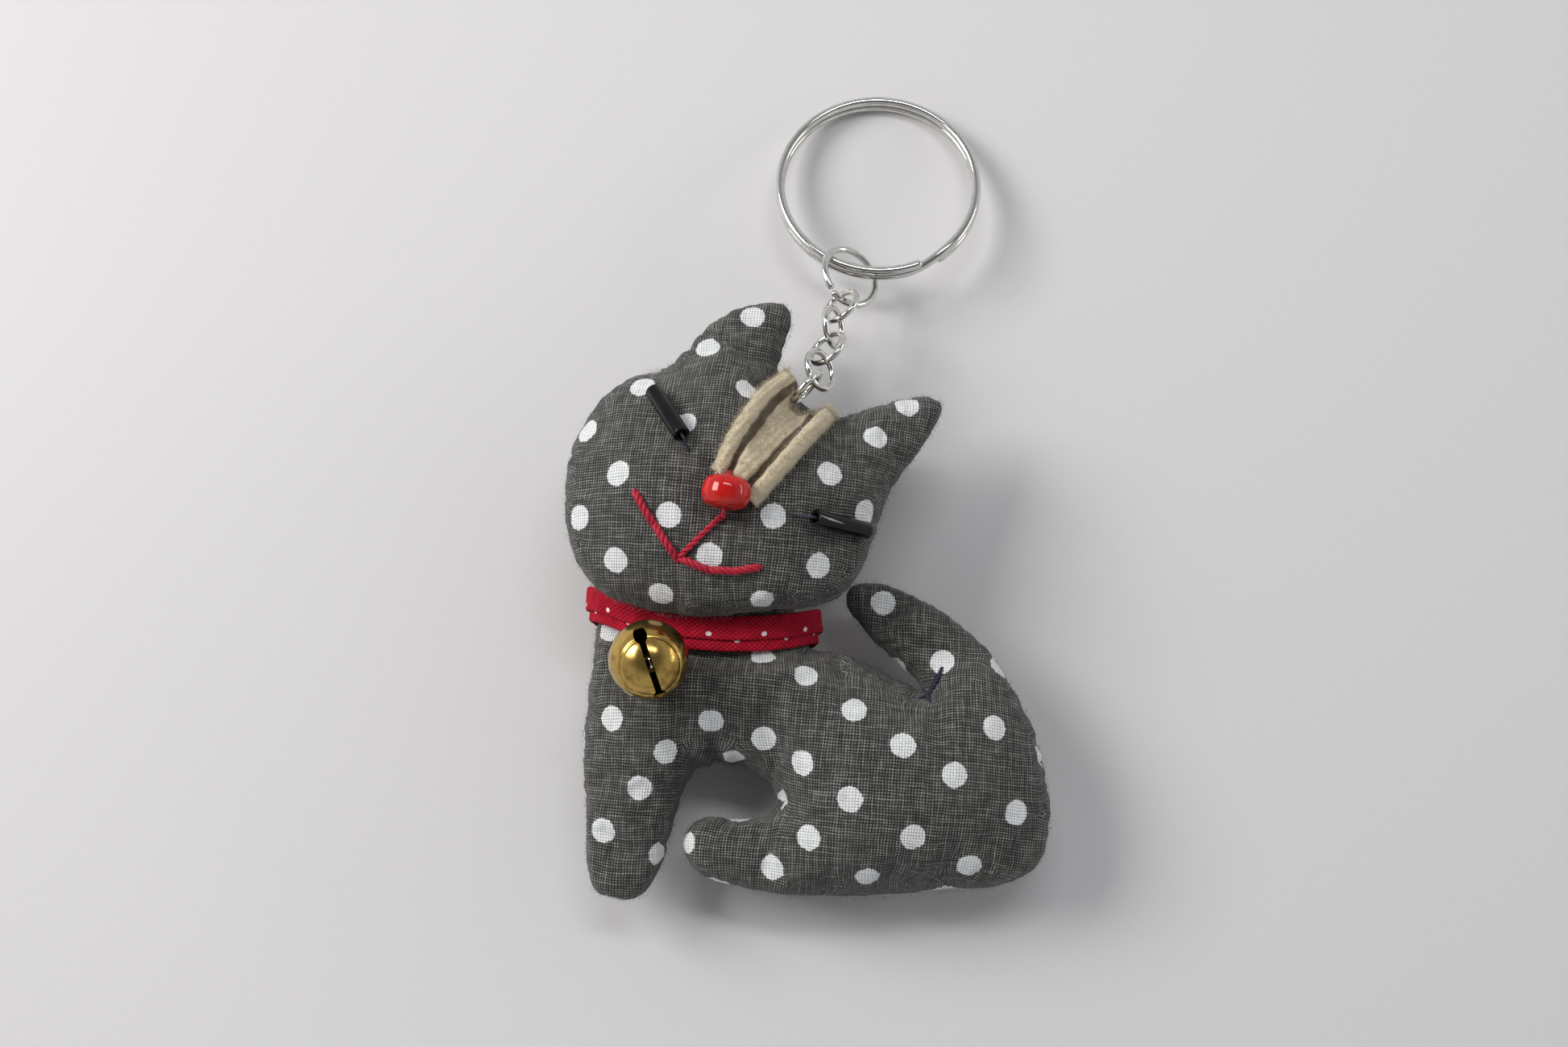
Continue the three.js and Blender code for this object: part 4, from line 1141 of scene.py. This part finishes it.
def felt():
    """A strip of felt laid in pleats: two ridges with a lobe between them, open at the crown."""
    stations, fine = 60, 9
    left = spaced(catmull([row(*p) for p in (
        (-11.2, -1.9), (-9.5, 2.0), (-7.2, 6.2), (-4.9, 10.0), (-2.0, 13.0))], False), 0.1)
    right = spaced(catmull([row(*p) for p in (
        (-7.3, -5.3), (-5.0, -2.6), (-2.2, 0.9), (0.5, 4.5), (2.9, 7.7))], False), 0.1)

    def along(line, s):
        k = s * (len(line) - 1)
        return np.stack([np.interp(k, np.arange(len(line)), line[:, c]) for c in (0, 1)], -1)

    s = np.linspace(0, 1, stations)
    lc, rc = along(left, s), along(right, s)
    top_l = seen_heights("felt_left_fold", lc)
    top_r = seen_heights("felt_right_fold", rc)
    top_c = seen_heights("felt_centre_fold", along(0.5 * (lc + rc), s))
    half_ridge = 1.1
    verts, depth = [], []
    for k in range(stations):
        rows = []
        end = min(1.0, (stations - 1 - k) * 0.28 / 0.7)
        drop = 1 - math.sqrt(max(1 - (1 - end) ** 2, 0.0))
        wide = np.linalg.norm(rc[k] - lc[k])
        lobe = wide / 2 - half_ridge
        foot = (0.60 + 0.20 * math.sin(math.pi * min(s[k] * 0.85, 1.0))
                + 0.05 * math.sin(9 * s[k]))
        low = min(top_l[k], top_r[k], top_c[k]) - 1.25
        # Across the strip: place, height, and the share of painted groove shade (0 on the ridges,
        # 1 in the grooves).
        knots = np.array([
            (-half_ridge - 0.12, low - 0.1, 0), (-half_ridge * 0.82, top_l[k] - 0.6, 0),
            (-half_ridge * 0.1, top_l[k], 0), (half_ridge * 0.68, top_l[k] - 0.4, 0.2),
            (half_ridge * 0.88, low + 0.3, 0.95), (half_ridge * 1.12, low, 1.0),
            (wide / 2 - lobe * foot, low + 0.2, 1.0),
            (wide / 2 - lobe * (foot - 0.16), top_c[k] - 0.25, 0.25),
            (wide / 2, top_c[k] + 0.05, 0),
            (wide / 2 + lobe * (foot - 0.16), top_c[k] - 0.25, 0.25),
            (wide / 2 + lobe * foot, low + 0.2, 1.0),
            (wide - half_ridge * 1.12, low, 1.0), (wide - half_ridge * 0.88, low + 0.3, 0.95),
            (wide - half_ridge * 0.68, top_r[k] - 0.4, 0.2),
            (wide + half_ridge * 0.1, top_r[k], 0), (wide + half_ridge * 0.82, top_r[k] - 0.6, 0),
            (wide + half_ridge + 0.12, low - 0.1, 0)])
        for x, z, d in catmull(np.c_[knots[:, 0], np.maximum(knots[:, 1], low - 0.6), knots[:, 2]],
                               False, fine):
            inner = math.exp(-((x - wide / 2) / (lobe * 0.72)) ** 4) if 0 < x < wide else 0.0
            back = s[k] * (1 - 0.20 * inner)
            base = along(left, back)
            far = along(right, back)
            place = base + (far - base) * x / wide
            ground = on_top(HEAD_TREE, place[0], place[1], low)
            z = max(z, ground + 0.10 + (0.55 * inner if 0 < x < wide else 0.0)) - drop * 0.9
            rows.append((place[0] + 0.06 * math.sin(place[1] * 3.1 + x), place[1], z))
            depth.append(d)
        verts += rows
    n = len(verts) // stations
    grid = np.array(verts).reshape(stations, n, 3)
    for _ in range(6):
        grid[1:-1, :, 2] = 0.5 * grid[1:-1, :, 2] + 0.25 * (grid[:-2, :, 2] + grid[2:, :, 2])
    verts = grid.reshape(-1, 3)
    verts[:, 2] += (0.09 * np.sin(verts[:, 0] * 2.3 + verts[:, 1] * 1.7)
                    + 0.06 * np.sin(verts[:, 0] * 5.1 - verts[:, 1] * 4.3))
    faces = [(k * n + i, k * n + i + 1, (k + 1) * n + i + 1, (k + 1) * n + i)
             for k in range(stations - 1) for i in range(n - 1)]
    obj = make("felt_pleated_strip", verts, faces, FELT, "plush", "wool_felt",
               cad=("felt_left_fold", "felt_centre_fold", "felt_right_fold"))
    grid = verts.reshape(stations, n, 3)
    # The painted groove shade goes to the felt's material under the name depth.
    store(obj, "depth", "POINT", np.repeat(np.array(depth), 3))
    up = obj.data.polygons[0].normal.z > 0
    thicken(obj, 0.0006, -1.0)
    normal = vertex_normals(verts, np.array([f[:3] for f in faces]))
    if not up:
        normal = -normal
    return verts, normal, np.array(depth), n


felt_verts, felt_normal, felt_groove_shade, felt_across = felt()
FUZZ = 8000
pick = RNG.choice(np.flatnonzero(felt_groove_shade < 0.2), FUZZ)
ways = felt_normal[pick] * 0.45 + RNG.normal(scale=0.8, size=(FUZZ, 3))
roots = felt_verts[pick] + RNG.normal(scale=0.1, size=(FUZZ, 3)) - felt_normal[pick] * 0.1
fibres("felt_fuzz", roots, ways, RNG.uniform(0.25, 0.85, FUZZ), 0.018, FELT, "plush",
       "wool_felt", curl=1.0)
# The crown's cut edge frays, but not into the last link of the chain.
fray = RNG.choice(np.arange(len(felt_verts) - 2 * felt_across, len(felt_verts)), 1400)
clear = np.linalg.norm(felt_verts[fray] - middle("chain_link_4"), axis=1) > 4.6
fray = fray[clear]
ways = np.tile([0.35, 0.8, 0.1], (len(fray), 1)) + RNG.normal(scale=0.6, size=(len(fray), 3))
fibres("felt_crown_fray", felt_verts[fray] + RNG.normal(scale=0.15, size=(len(fray), 3)), ways,
       RNG.uniform(0.4, 1.4, len(fray)), 0.016, FELT, "plush", "wool_felt", curl=1.0)


# ---- beads, threads and stitches


def piece(name, geometry, material, body, slot, cad=()):
    return make(name, *geometry, material, body, slot, cad=cad)


for side, far in (("left", (-14.8, 0.8)), ("right", (-2.9, -6.8))):
    centre, axis = middle(f"{side}_eye_bead"), joint_axis(f"{side}_eye_spin")
    half, radius, bore = 4.4, 1.1, 0.65
    profile = rounded([(bore, -half), (radius, -half), (radius, half), (bore, half)],
                      (0.06, 0.14, 0.14, 0.06), 5)
    piece(f"{side}_eye_bugle", lathe(profile, axis, centre), BLACK_GLASS, f"{side}_eye",
          "black_glass", (f"{side}_eye_bead",))
    target = row(*far)
    toward = 1 if np.dot(target - centre[:2], axis[:2]) > 0 else -1
    near_end, far_end = centre + axis * toward * half, centre - axis * toward * half
    down = np.array([*target, on_top(HEAD_TREE, *target) - 0.25])
    tail = far_end - axis * toward * 0.45
    tail_z = on_top(HEAD_TREE, tail[0], tail[1], centre[2] - 2) - 0.2
    line = np.array([
        [tail[0] - axis[0] * toward * 0.4, tail[1] - axis[1] * toward * 0.4, tail_z],
        tail, far_end + axis * toward * 0.8, centre, near_end - axis * toward * 0.8,
        near_end + axis * toward * 0.4, near_end * 0.45 + down * 0.55 + (0, 0, 0.1), down])
    piece(f"{side}_eye_sewing_thread", plied(catmull(line, False, 10), 0.2, 2, 1.1), DARK_THREAD,
          "plush", "dark_thread", (f"{side}_eye_thread",))

nose, nose_axis = middle("nose_bead"), joint_axis("nose_spin")
profile = rounded([(0.7, -2.0), (3.05, -2.0), (3.05, 2.0), (0.7, 2.0)],
                  (0.35, 1.9, 1.9, 0.35), 14)
piece("nose_crow_bead", lathe(profile, nose_axis, nose, 96), RED_GLASS, "nose", "red_glass",
      ("nose_bead",))
ends = []
for sign in (-1, 1):
    foot = nose + nose_axis * sign * 2.7
    foot[2] = on_top(HEAD_TREE, foot[0], foot[1]) + 0.1
    ends.append((foot, nose + nose_axis * sign * 2.25))
line = np.array([ends[0][0], ends[0][1], nose, ends[1][1], ends[1][0]])
loop = [ends[1][0] + (d, 0.1, 0.25) for d in (-0.9, 0.0, 0.9)]
piece("nose_sewing_thread", joined([
    plied(catmull(line, False, 12), 0.34, 2, 1.5),
    plied(catmull(np.array([loop[0] - (0, 0.4, 0.4), loop[1] + (0, 0.25, 0.25),
                            loop[2] - (0, 0.4, 0.4)]), False, 12), 0.3, 2, 1.4)]),
    RED_THREAD, "plush", "red_thread", ("nose_thread",))

piece("nose_long_stitch", plied(over(
    HEAD_TREE, [(-10.5, -6.9), (-12.6, -8.9), (-14.8, -11.0), (-16.5, -12.4)], 0.42, 0.3, 0.45),
    0.42, 2, 2.1), RED_THREAD, "plush", "red_thread", ("nose_stitch",))
for side, stitches in (
        ("left", [[(-21.7, -3.9), (-20.6, -6.0), (-19.25, -8.1)],
                  [(-19.3, -7.9), (-17.9, -10.2), (-16.3, -12.4)]]),
        ("right", [[(-16.0, -12.2), (-14.1, -13.2), (-12.3, -13.8)],
                   [(-12.6, -13.7), (-9.4, -13.9), (-6.1, -13.4)]])):
    parts = [plied(over(HEAD_TREE, s, 0.42, 0.3, 0.6), 0.54, 3, 2.6, phase=k)
             for k, s in enumerate(stitches)]
    piece(f"mouth_{side}_backstitches", joined(parts), RED_THREAD, "plush", "red_thread",
          (f"mouth_stitch_{side}",))
# The tack is four short stitches across each other: places, lift, dive and radius.
piece("tail_tack_thread", joined([
    plied(over(BODY_TREE, places, lift, 0.3, dive), radius, 2, 1.0)
    for places, lift, dive, radius in (
        ([(17.3, -24.6), (16.5, -26.4), (15.4, -28.3)], 0.3, 0.5, 0.3),
        ([(16.6, -25.4), (16.0, -27.0), (15.0, -28.6)], 0.34, 0.5, 0.28),
        ([(14.3, -28.7), (15.2, -28.1), (16.2, -27.3)], 0.3, 0.4, 0.26),
        ([(14.9, -27.2), (15.4, -28.3), (15.6, -29.3)], 0.3, 0.4, 0.24))]),
    DARK_THREAD, "plush", "dark_thread", ("tail_tack_stitch",))
crease = [row(x, y, BODY["seam"] - 0.7) for x, y in (
    (-27.6, -13.2), (-23.6, -7.6), (-14.2, -4.6), (-4.8, -8.0), (-1.0, -13.4))]
piece("neck_sewing_thread", plied(catmull(np.array(crease), False, 16), 0.3, 2, 1.3), DARK_THREAD,
      "plush", "dark_thread", ("neck_stitch",))


# ---- bell


def bell():
    """Two domes, the front one with its slot and holes, a loop, a loose pellet and a thread."""
    tilt, turn, slot_turn = math.radians(22), math.radians(20), math.radians(-62)
    axis = Vector((math.sin(tilt) * math.sin(turn), -math.sin(tilt) * math.cos(turn),
                   math.cos(tilt)))
    to_axis = Vector((0, 1, 0)).rotation_difference(axis)
    rotation = np.array((to_axis @ Quaternion((0, 1, 0), slot_turn)).to_matrix())
    centre = row(-19.9, -24.7, 22.4)

    def placed(verts):
        return verts @ rotation.T + centre

    def dome(sign):
        """Half a hollow ball, as vertices and faces. The front one has a pressed groove."""
        outer, inner = [], []
        for k in range(61):
            a = k / 60 * (math.pi / 2 - 0.012)
            groove = 0.11 * math.exp(-((a - math.radians(48)) / 0.035) ** 2) if sign > 0 else 0.0
            rim = 0.03 * math.exp(-((a - math.pi / 2) / 0.05) ** 2)
            r = BELL_OUT - groove + rim
            outer.append((max(r * math.sin(a), 1e-4), sign * r * math.cos(a)))
            r = BELL_IN - groove
            inner.append((max(r * math.sin(a), 1e-4), sign * r * math.cos(a)))
        segments = 128
        a = np.linspace(0, 2 * math.pi, segments, endpoint=False)
        verts, faces = [(0, sign * BELL_OUT, 0), (0, sign * BELL_IN, 0)], []
        ring = outer[1:] + inner[1:][::-1]
        for t in a:
            verts += [(r * math.cos(t), y, r * math.sin(t)) for r, y in ring]
        n = len(ring)
        for i in range(segments):
            j = (i + 1) % segments
            for k in range(n - 1):
                faces.append((2 + i * n + k, 2 + j * n + k, 2 + j * n + k + 1, 2 + i * n + k + 1))
            faces.append((0, 2 + j * n, 2 + i * n))
            faces.append((1, 2 + i * n + n - 1, 2 + j * n + n - 1))
        if sign > 0:
            faces = [f[::-1] for f in faces]
        return np.array(verts, float), faces

    front = make("bell_front_dome", *dome(1), BRASS, "bell", "brass", cad=("bell_front_shell",))
    outward(front.data)
    front.data.materials.append(BRASS_PAINTED_SHADE)
    cutters = []
    for kind, at in (("box", 0.0), ("hole", -4.0), ("hole", 4.0)):
        if kind == "box":
            bpy.ops.mesh.primitive_cube_add(size=1, location=(0, 0.0035, 0))
            cut = bpy.context.object
            cut.scale = (0.0086, 0.005, 0.0008)
        else:
            bpy.ops.mesh.primitive_cylinder_add(
                vertices=48, radius=0.00085, depth=0.005, location=(at * MM, 0.0035, 0),
                rotation=(math.pi / 2, 0, 0))
            cut = bpy.context.object
        cutters.append(cut)
        step = front.modifiers.new("cut", "BOOLEAN")
        step.operation, step.object, step.solver = "DIFFERENCE", cut, "EXACT"
    bpy.context.view_layer.update()
    applied(front)
    for cut in cutters:
        bpy.data.objects.remove(cut)
    back = make("bell_back_dome", *dome(-1), BRASS, "bell", "brass", cad=("bell_back_shell",))
    outward(back.data)
    back.data.materials.append(BRASS_PAINTED_SHADE)
    for obj in (front, back):
        mesh = obj.data
        # The inner faces take the darker copy of the brass: painted shade inside the bell.
        inner = [
            p.center.length * 1000 < 4.72 and p.normal.dot(p.center) < 0 for p in mesh.polygons]
        mesh.polygons.foreach_set("material_index", [int(x) for x in inner])
        co = np.array([v.co[:] for v in mesh.vertices]) * 1000
        mesh.vertices.foreach_set("co", (placed(co) * MM).astype(np.float32).ravel())
        mesh.polygons.foreach_set("use_smooth", [True] * len(mesh.polygons))
        mesh.update()
        for p in mesh.edges:
            p.use_edge_sharp = False
        mesh.set_sharp_from_angle(angle=math.radians(38))
    loop_centre = middle("bell_loop")
    a = np.linspace(0, 2 * math.pi, 48, endpoint=False)
    ring = np.c_[np.zeros(48), 0.95 * np.cos(a), 0.95 * np.sin(a)] + loop_centre
    piece("bell_hanging_loop", sweep(ring, 0.22, 14, closed=True), BRASS, "bell", "brass",
          ("bell_loop",))
    u = np.linspace(0, math.pi, 33)
    profile = [(max(1.4 * math.sin(t), 1e-3) * (1 + 0.012 * math.sin(5 * t)),
                -1.4 * math.cos(t)) for t in u]
    piece("bell_loose_pellet", lathe(profile, (0.3, 0.4, 0.87), middle("bell_pellet"), 48),
          NICKEL, "pellet", "nickel", ("bell_pellet",))
    line = catmull(loop_centre + np.array([
        (-0.9, 1.9, 0.9), (-0.9, 0.5, 0.2), (0, 0, 0), (0.9, 0.5, 0.2), (0.9, 1.9, 0.9)]),
        False, 12)
    piece("bell_sewing_thread", plied(line, 0.22, 2, 1.1), RED_THREAD, "plush", "red_thread",
          ("bell_thread",))


bell()


# ---- rings and chain


def ring_fit(node):
    """Centre, facing and radius of a closed CAD ring."""
    p = np.array([v.co[:] for v in frame["nodes"][node].data.vertices]) * 1000
    centre = p.mean(0)
    normal = np.linalg.svd(p - centre, full_matrices=False)[2][2]
    flat = p - centre - np.outer((p - centre) @ normal, normal)
    r = np.linalg.norm(flat, axis=1)
    return centre, normal, (r.min() + r.max()) / 2


def circle(centre, normal, radius, count=96, start=0.0, stop=2 * math.pi, rise=0.0):
    """Points round a circle or an arc, which may climb like a screw."""
    turn = Vector((0, 0, 1)).rotation_difference(Vector(unit(normal)))
    open_ring = stop - start < 2 * math.pi - 1e-6
    a = np.linspace(start, stop, count, endpoint=open_ring)
    level = rise * (np.linspace(0, 1, count) - 0.5)
    local = np.c_[radius * np.cos(a), radius * np.sin(a), level]
    return local @ np.array(turn.to_matrix()).T + centre


for node, wire, new_name in [("end_ring", WIRE["end_ring"], "felt_end_ring")] + [
        (f"chain_link_{k}", WIRE["chain_link"], f"link_{k}_wire") for k in (1, 2, 3, 4)]:
    line = circle(*ring_fit(node))
    piece(new_name, sweep(line, wire, 20, closed=True), NICKEL, node, "nickel", (node,))

start, gap = math.radians(222), math.radians(6)  # the gap lies on both sides of the start
line = circle(row(5.82, 28.95, 7.65), (0.525, 0.217, 0.823), 4.1, 110, start + gap,
              start + 2 * math.pi - gap, 0.3)
piece("open_jump_ring", sweep(line, WIRE["jump_ring"], 20), NICKEL, "jump_ring", "nickel",
      ("jump_ring",))

start, gap = math.radians(-60), math.radians(7)
t = np.linspace(0, 1, 420)
a = start + gap + (4 * math.pi - 2 * gap) * t
level = COIL_RISE * (smoothstep((t - 0.48) / 0.04) - 0.5)  # it steps up half way round
tilt = math.radians(12.5)
local = np.c_[KEY_RING * np.cos(a), KEY_RING * np.sin(a), level]
turn = np.array(Matrix.Rotation(-tilt, 3, "X"))
centre = row(9.9, 42.8, WIRE["key_ring"] + KEY_RING * math.sin(tilt)
             + COIL_RISE / 2 * math.cos(tilt))
piece("split_ring_coil", sweep(local @ turn.T + centre, WIRE["key_ring"], 20), NICKEL,
      "key_ring", "nickel", ("split_key_ring",))


# ---- stage, light and camera


def floor(half, z):
    """A pale floor, just below what lies on it."""
    n = Nodes("floor")
    grain = n.noise(n.place(), 0.9, 3.0)
    n.set(color=n.mix(grain, (0.655, 0.64, 0.64), (0.675, 0.66, 0.66)), rough=0.5, specular=0.35)
    mesh = bpy.data.meshes.new("floor")
    corners = [(-half, -half, z), (half, -half, z), (half, half, z), (-half, half, z)]
    mesh.from_pydata(corners, [], [(0, 1, 2, 3)])
    mesh.materials.append(n.mat)
    obj = bpy.data.objects.new("floor", mesh)
    bpy.context.scene.collection.objects.link(obj)


floor(2.0, -0.0001)


def area(name, size, energy, azimuth, elevation, distance, color):
    """A rectangular light that faces the origin."""
    light = bpy.data.lights.new(name, "AREA")
    light.shape = "RECTANGLE"
    light.size, light.size_y = size
    light.energy = energy
    light.color = color
    obj = bpy.data.objects.new(name, light)
    a, e = math.radians(azimuth), math.radians(elevation)
    way = Vector((math.cos(a) * math.cos(e), math.sin(a) * math.cos(e), math.sin(e)))
    obj.location = way * distance
    obj.rotation_mode = "QUATERNION"
    obj.rotation_quaternion = way.to_track_quat("Z", "Y")
    bpy.context.scene.collection.objects.link(obj)


area("window", (0.36, 0.34), 4.4, 158, 38, 0.75, (1.0, 0.985, 0.965))
area("strip", (0.55, 0.12), 1.7, 78, 66, 0.85, (0.95, 0.97, 1.0))
area("card", (0.30, 0.05), 0.35, 8, 16, 0.6, (1.0, 0.97, 0.93))

# The surroundings are brighter near the horizon than overhead.
world = bpy.data.worlds.new("world")
bpy.context.scene.world = world
world.use_nodes = True
tree = world.node_tree
coords = tree.nodes.new("ShaderNodeTexCoord")
parts = tree.nodes.new("ShaderNodeSeparateXYZ")
tree.links.new(coords.outputs["Generated"], parts.inputs[0])
fade = tree.nodes.new("ShaderNodeMapRange")
fade.interpolation_type = "SMOOTHSTEP"
fade.inputs["From Min"].default_value, fade.inputs["From Max"].default_value = 0.45, 0.88
tree.links.new(parts.outputs[2], fade.inputs["Value"])
sky = tree.nodes.new("ShaderNodeMix")
sky.data_type = "RGBA"
tree.links.new(fade.outputs[0], sky.inputs["Factor"])
sky.inputs[6].default_value = (0.90, 0.92, 0.96, 1)
sky.inputs[7].default_value = (0.26, 0.26, 0.27, 1)
tree.links.new(sky.outputs[2], tree.nodes["Background"].inputs[0])
tree.nodes["Background"].inputs[1].default_value = 0.58

camera = bpy.data.cameras.new("camera")
camera.lens, camera.sensor_width = 50, 36
camera.clip_start, camera.clip_end = 0.01, 10
camera_obj = bpy.data.objects.new("camera", camera)
camera_obj.location = (-0.00301, -0.05627, 0.29188)
camera_obj.rotation_euler = (math.radians(10), 0, 0)
bpy.context.scene.collection.objects.link(camera_obj)
bpy.context.scene.camera = camera_obj
bpy.context.scene.view_settings.view_transform = "Standard"
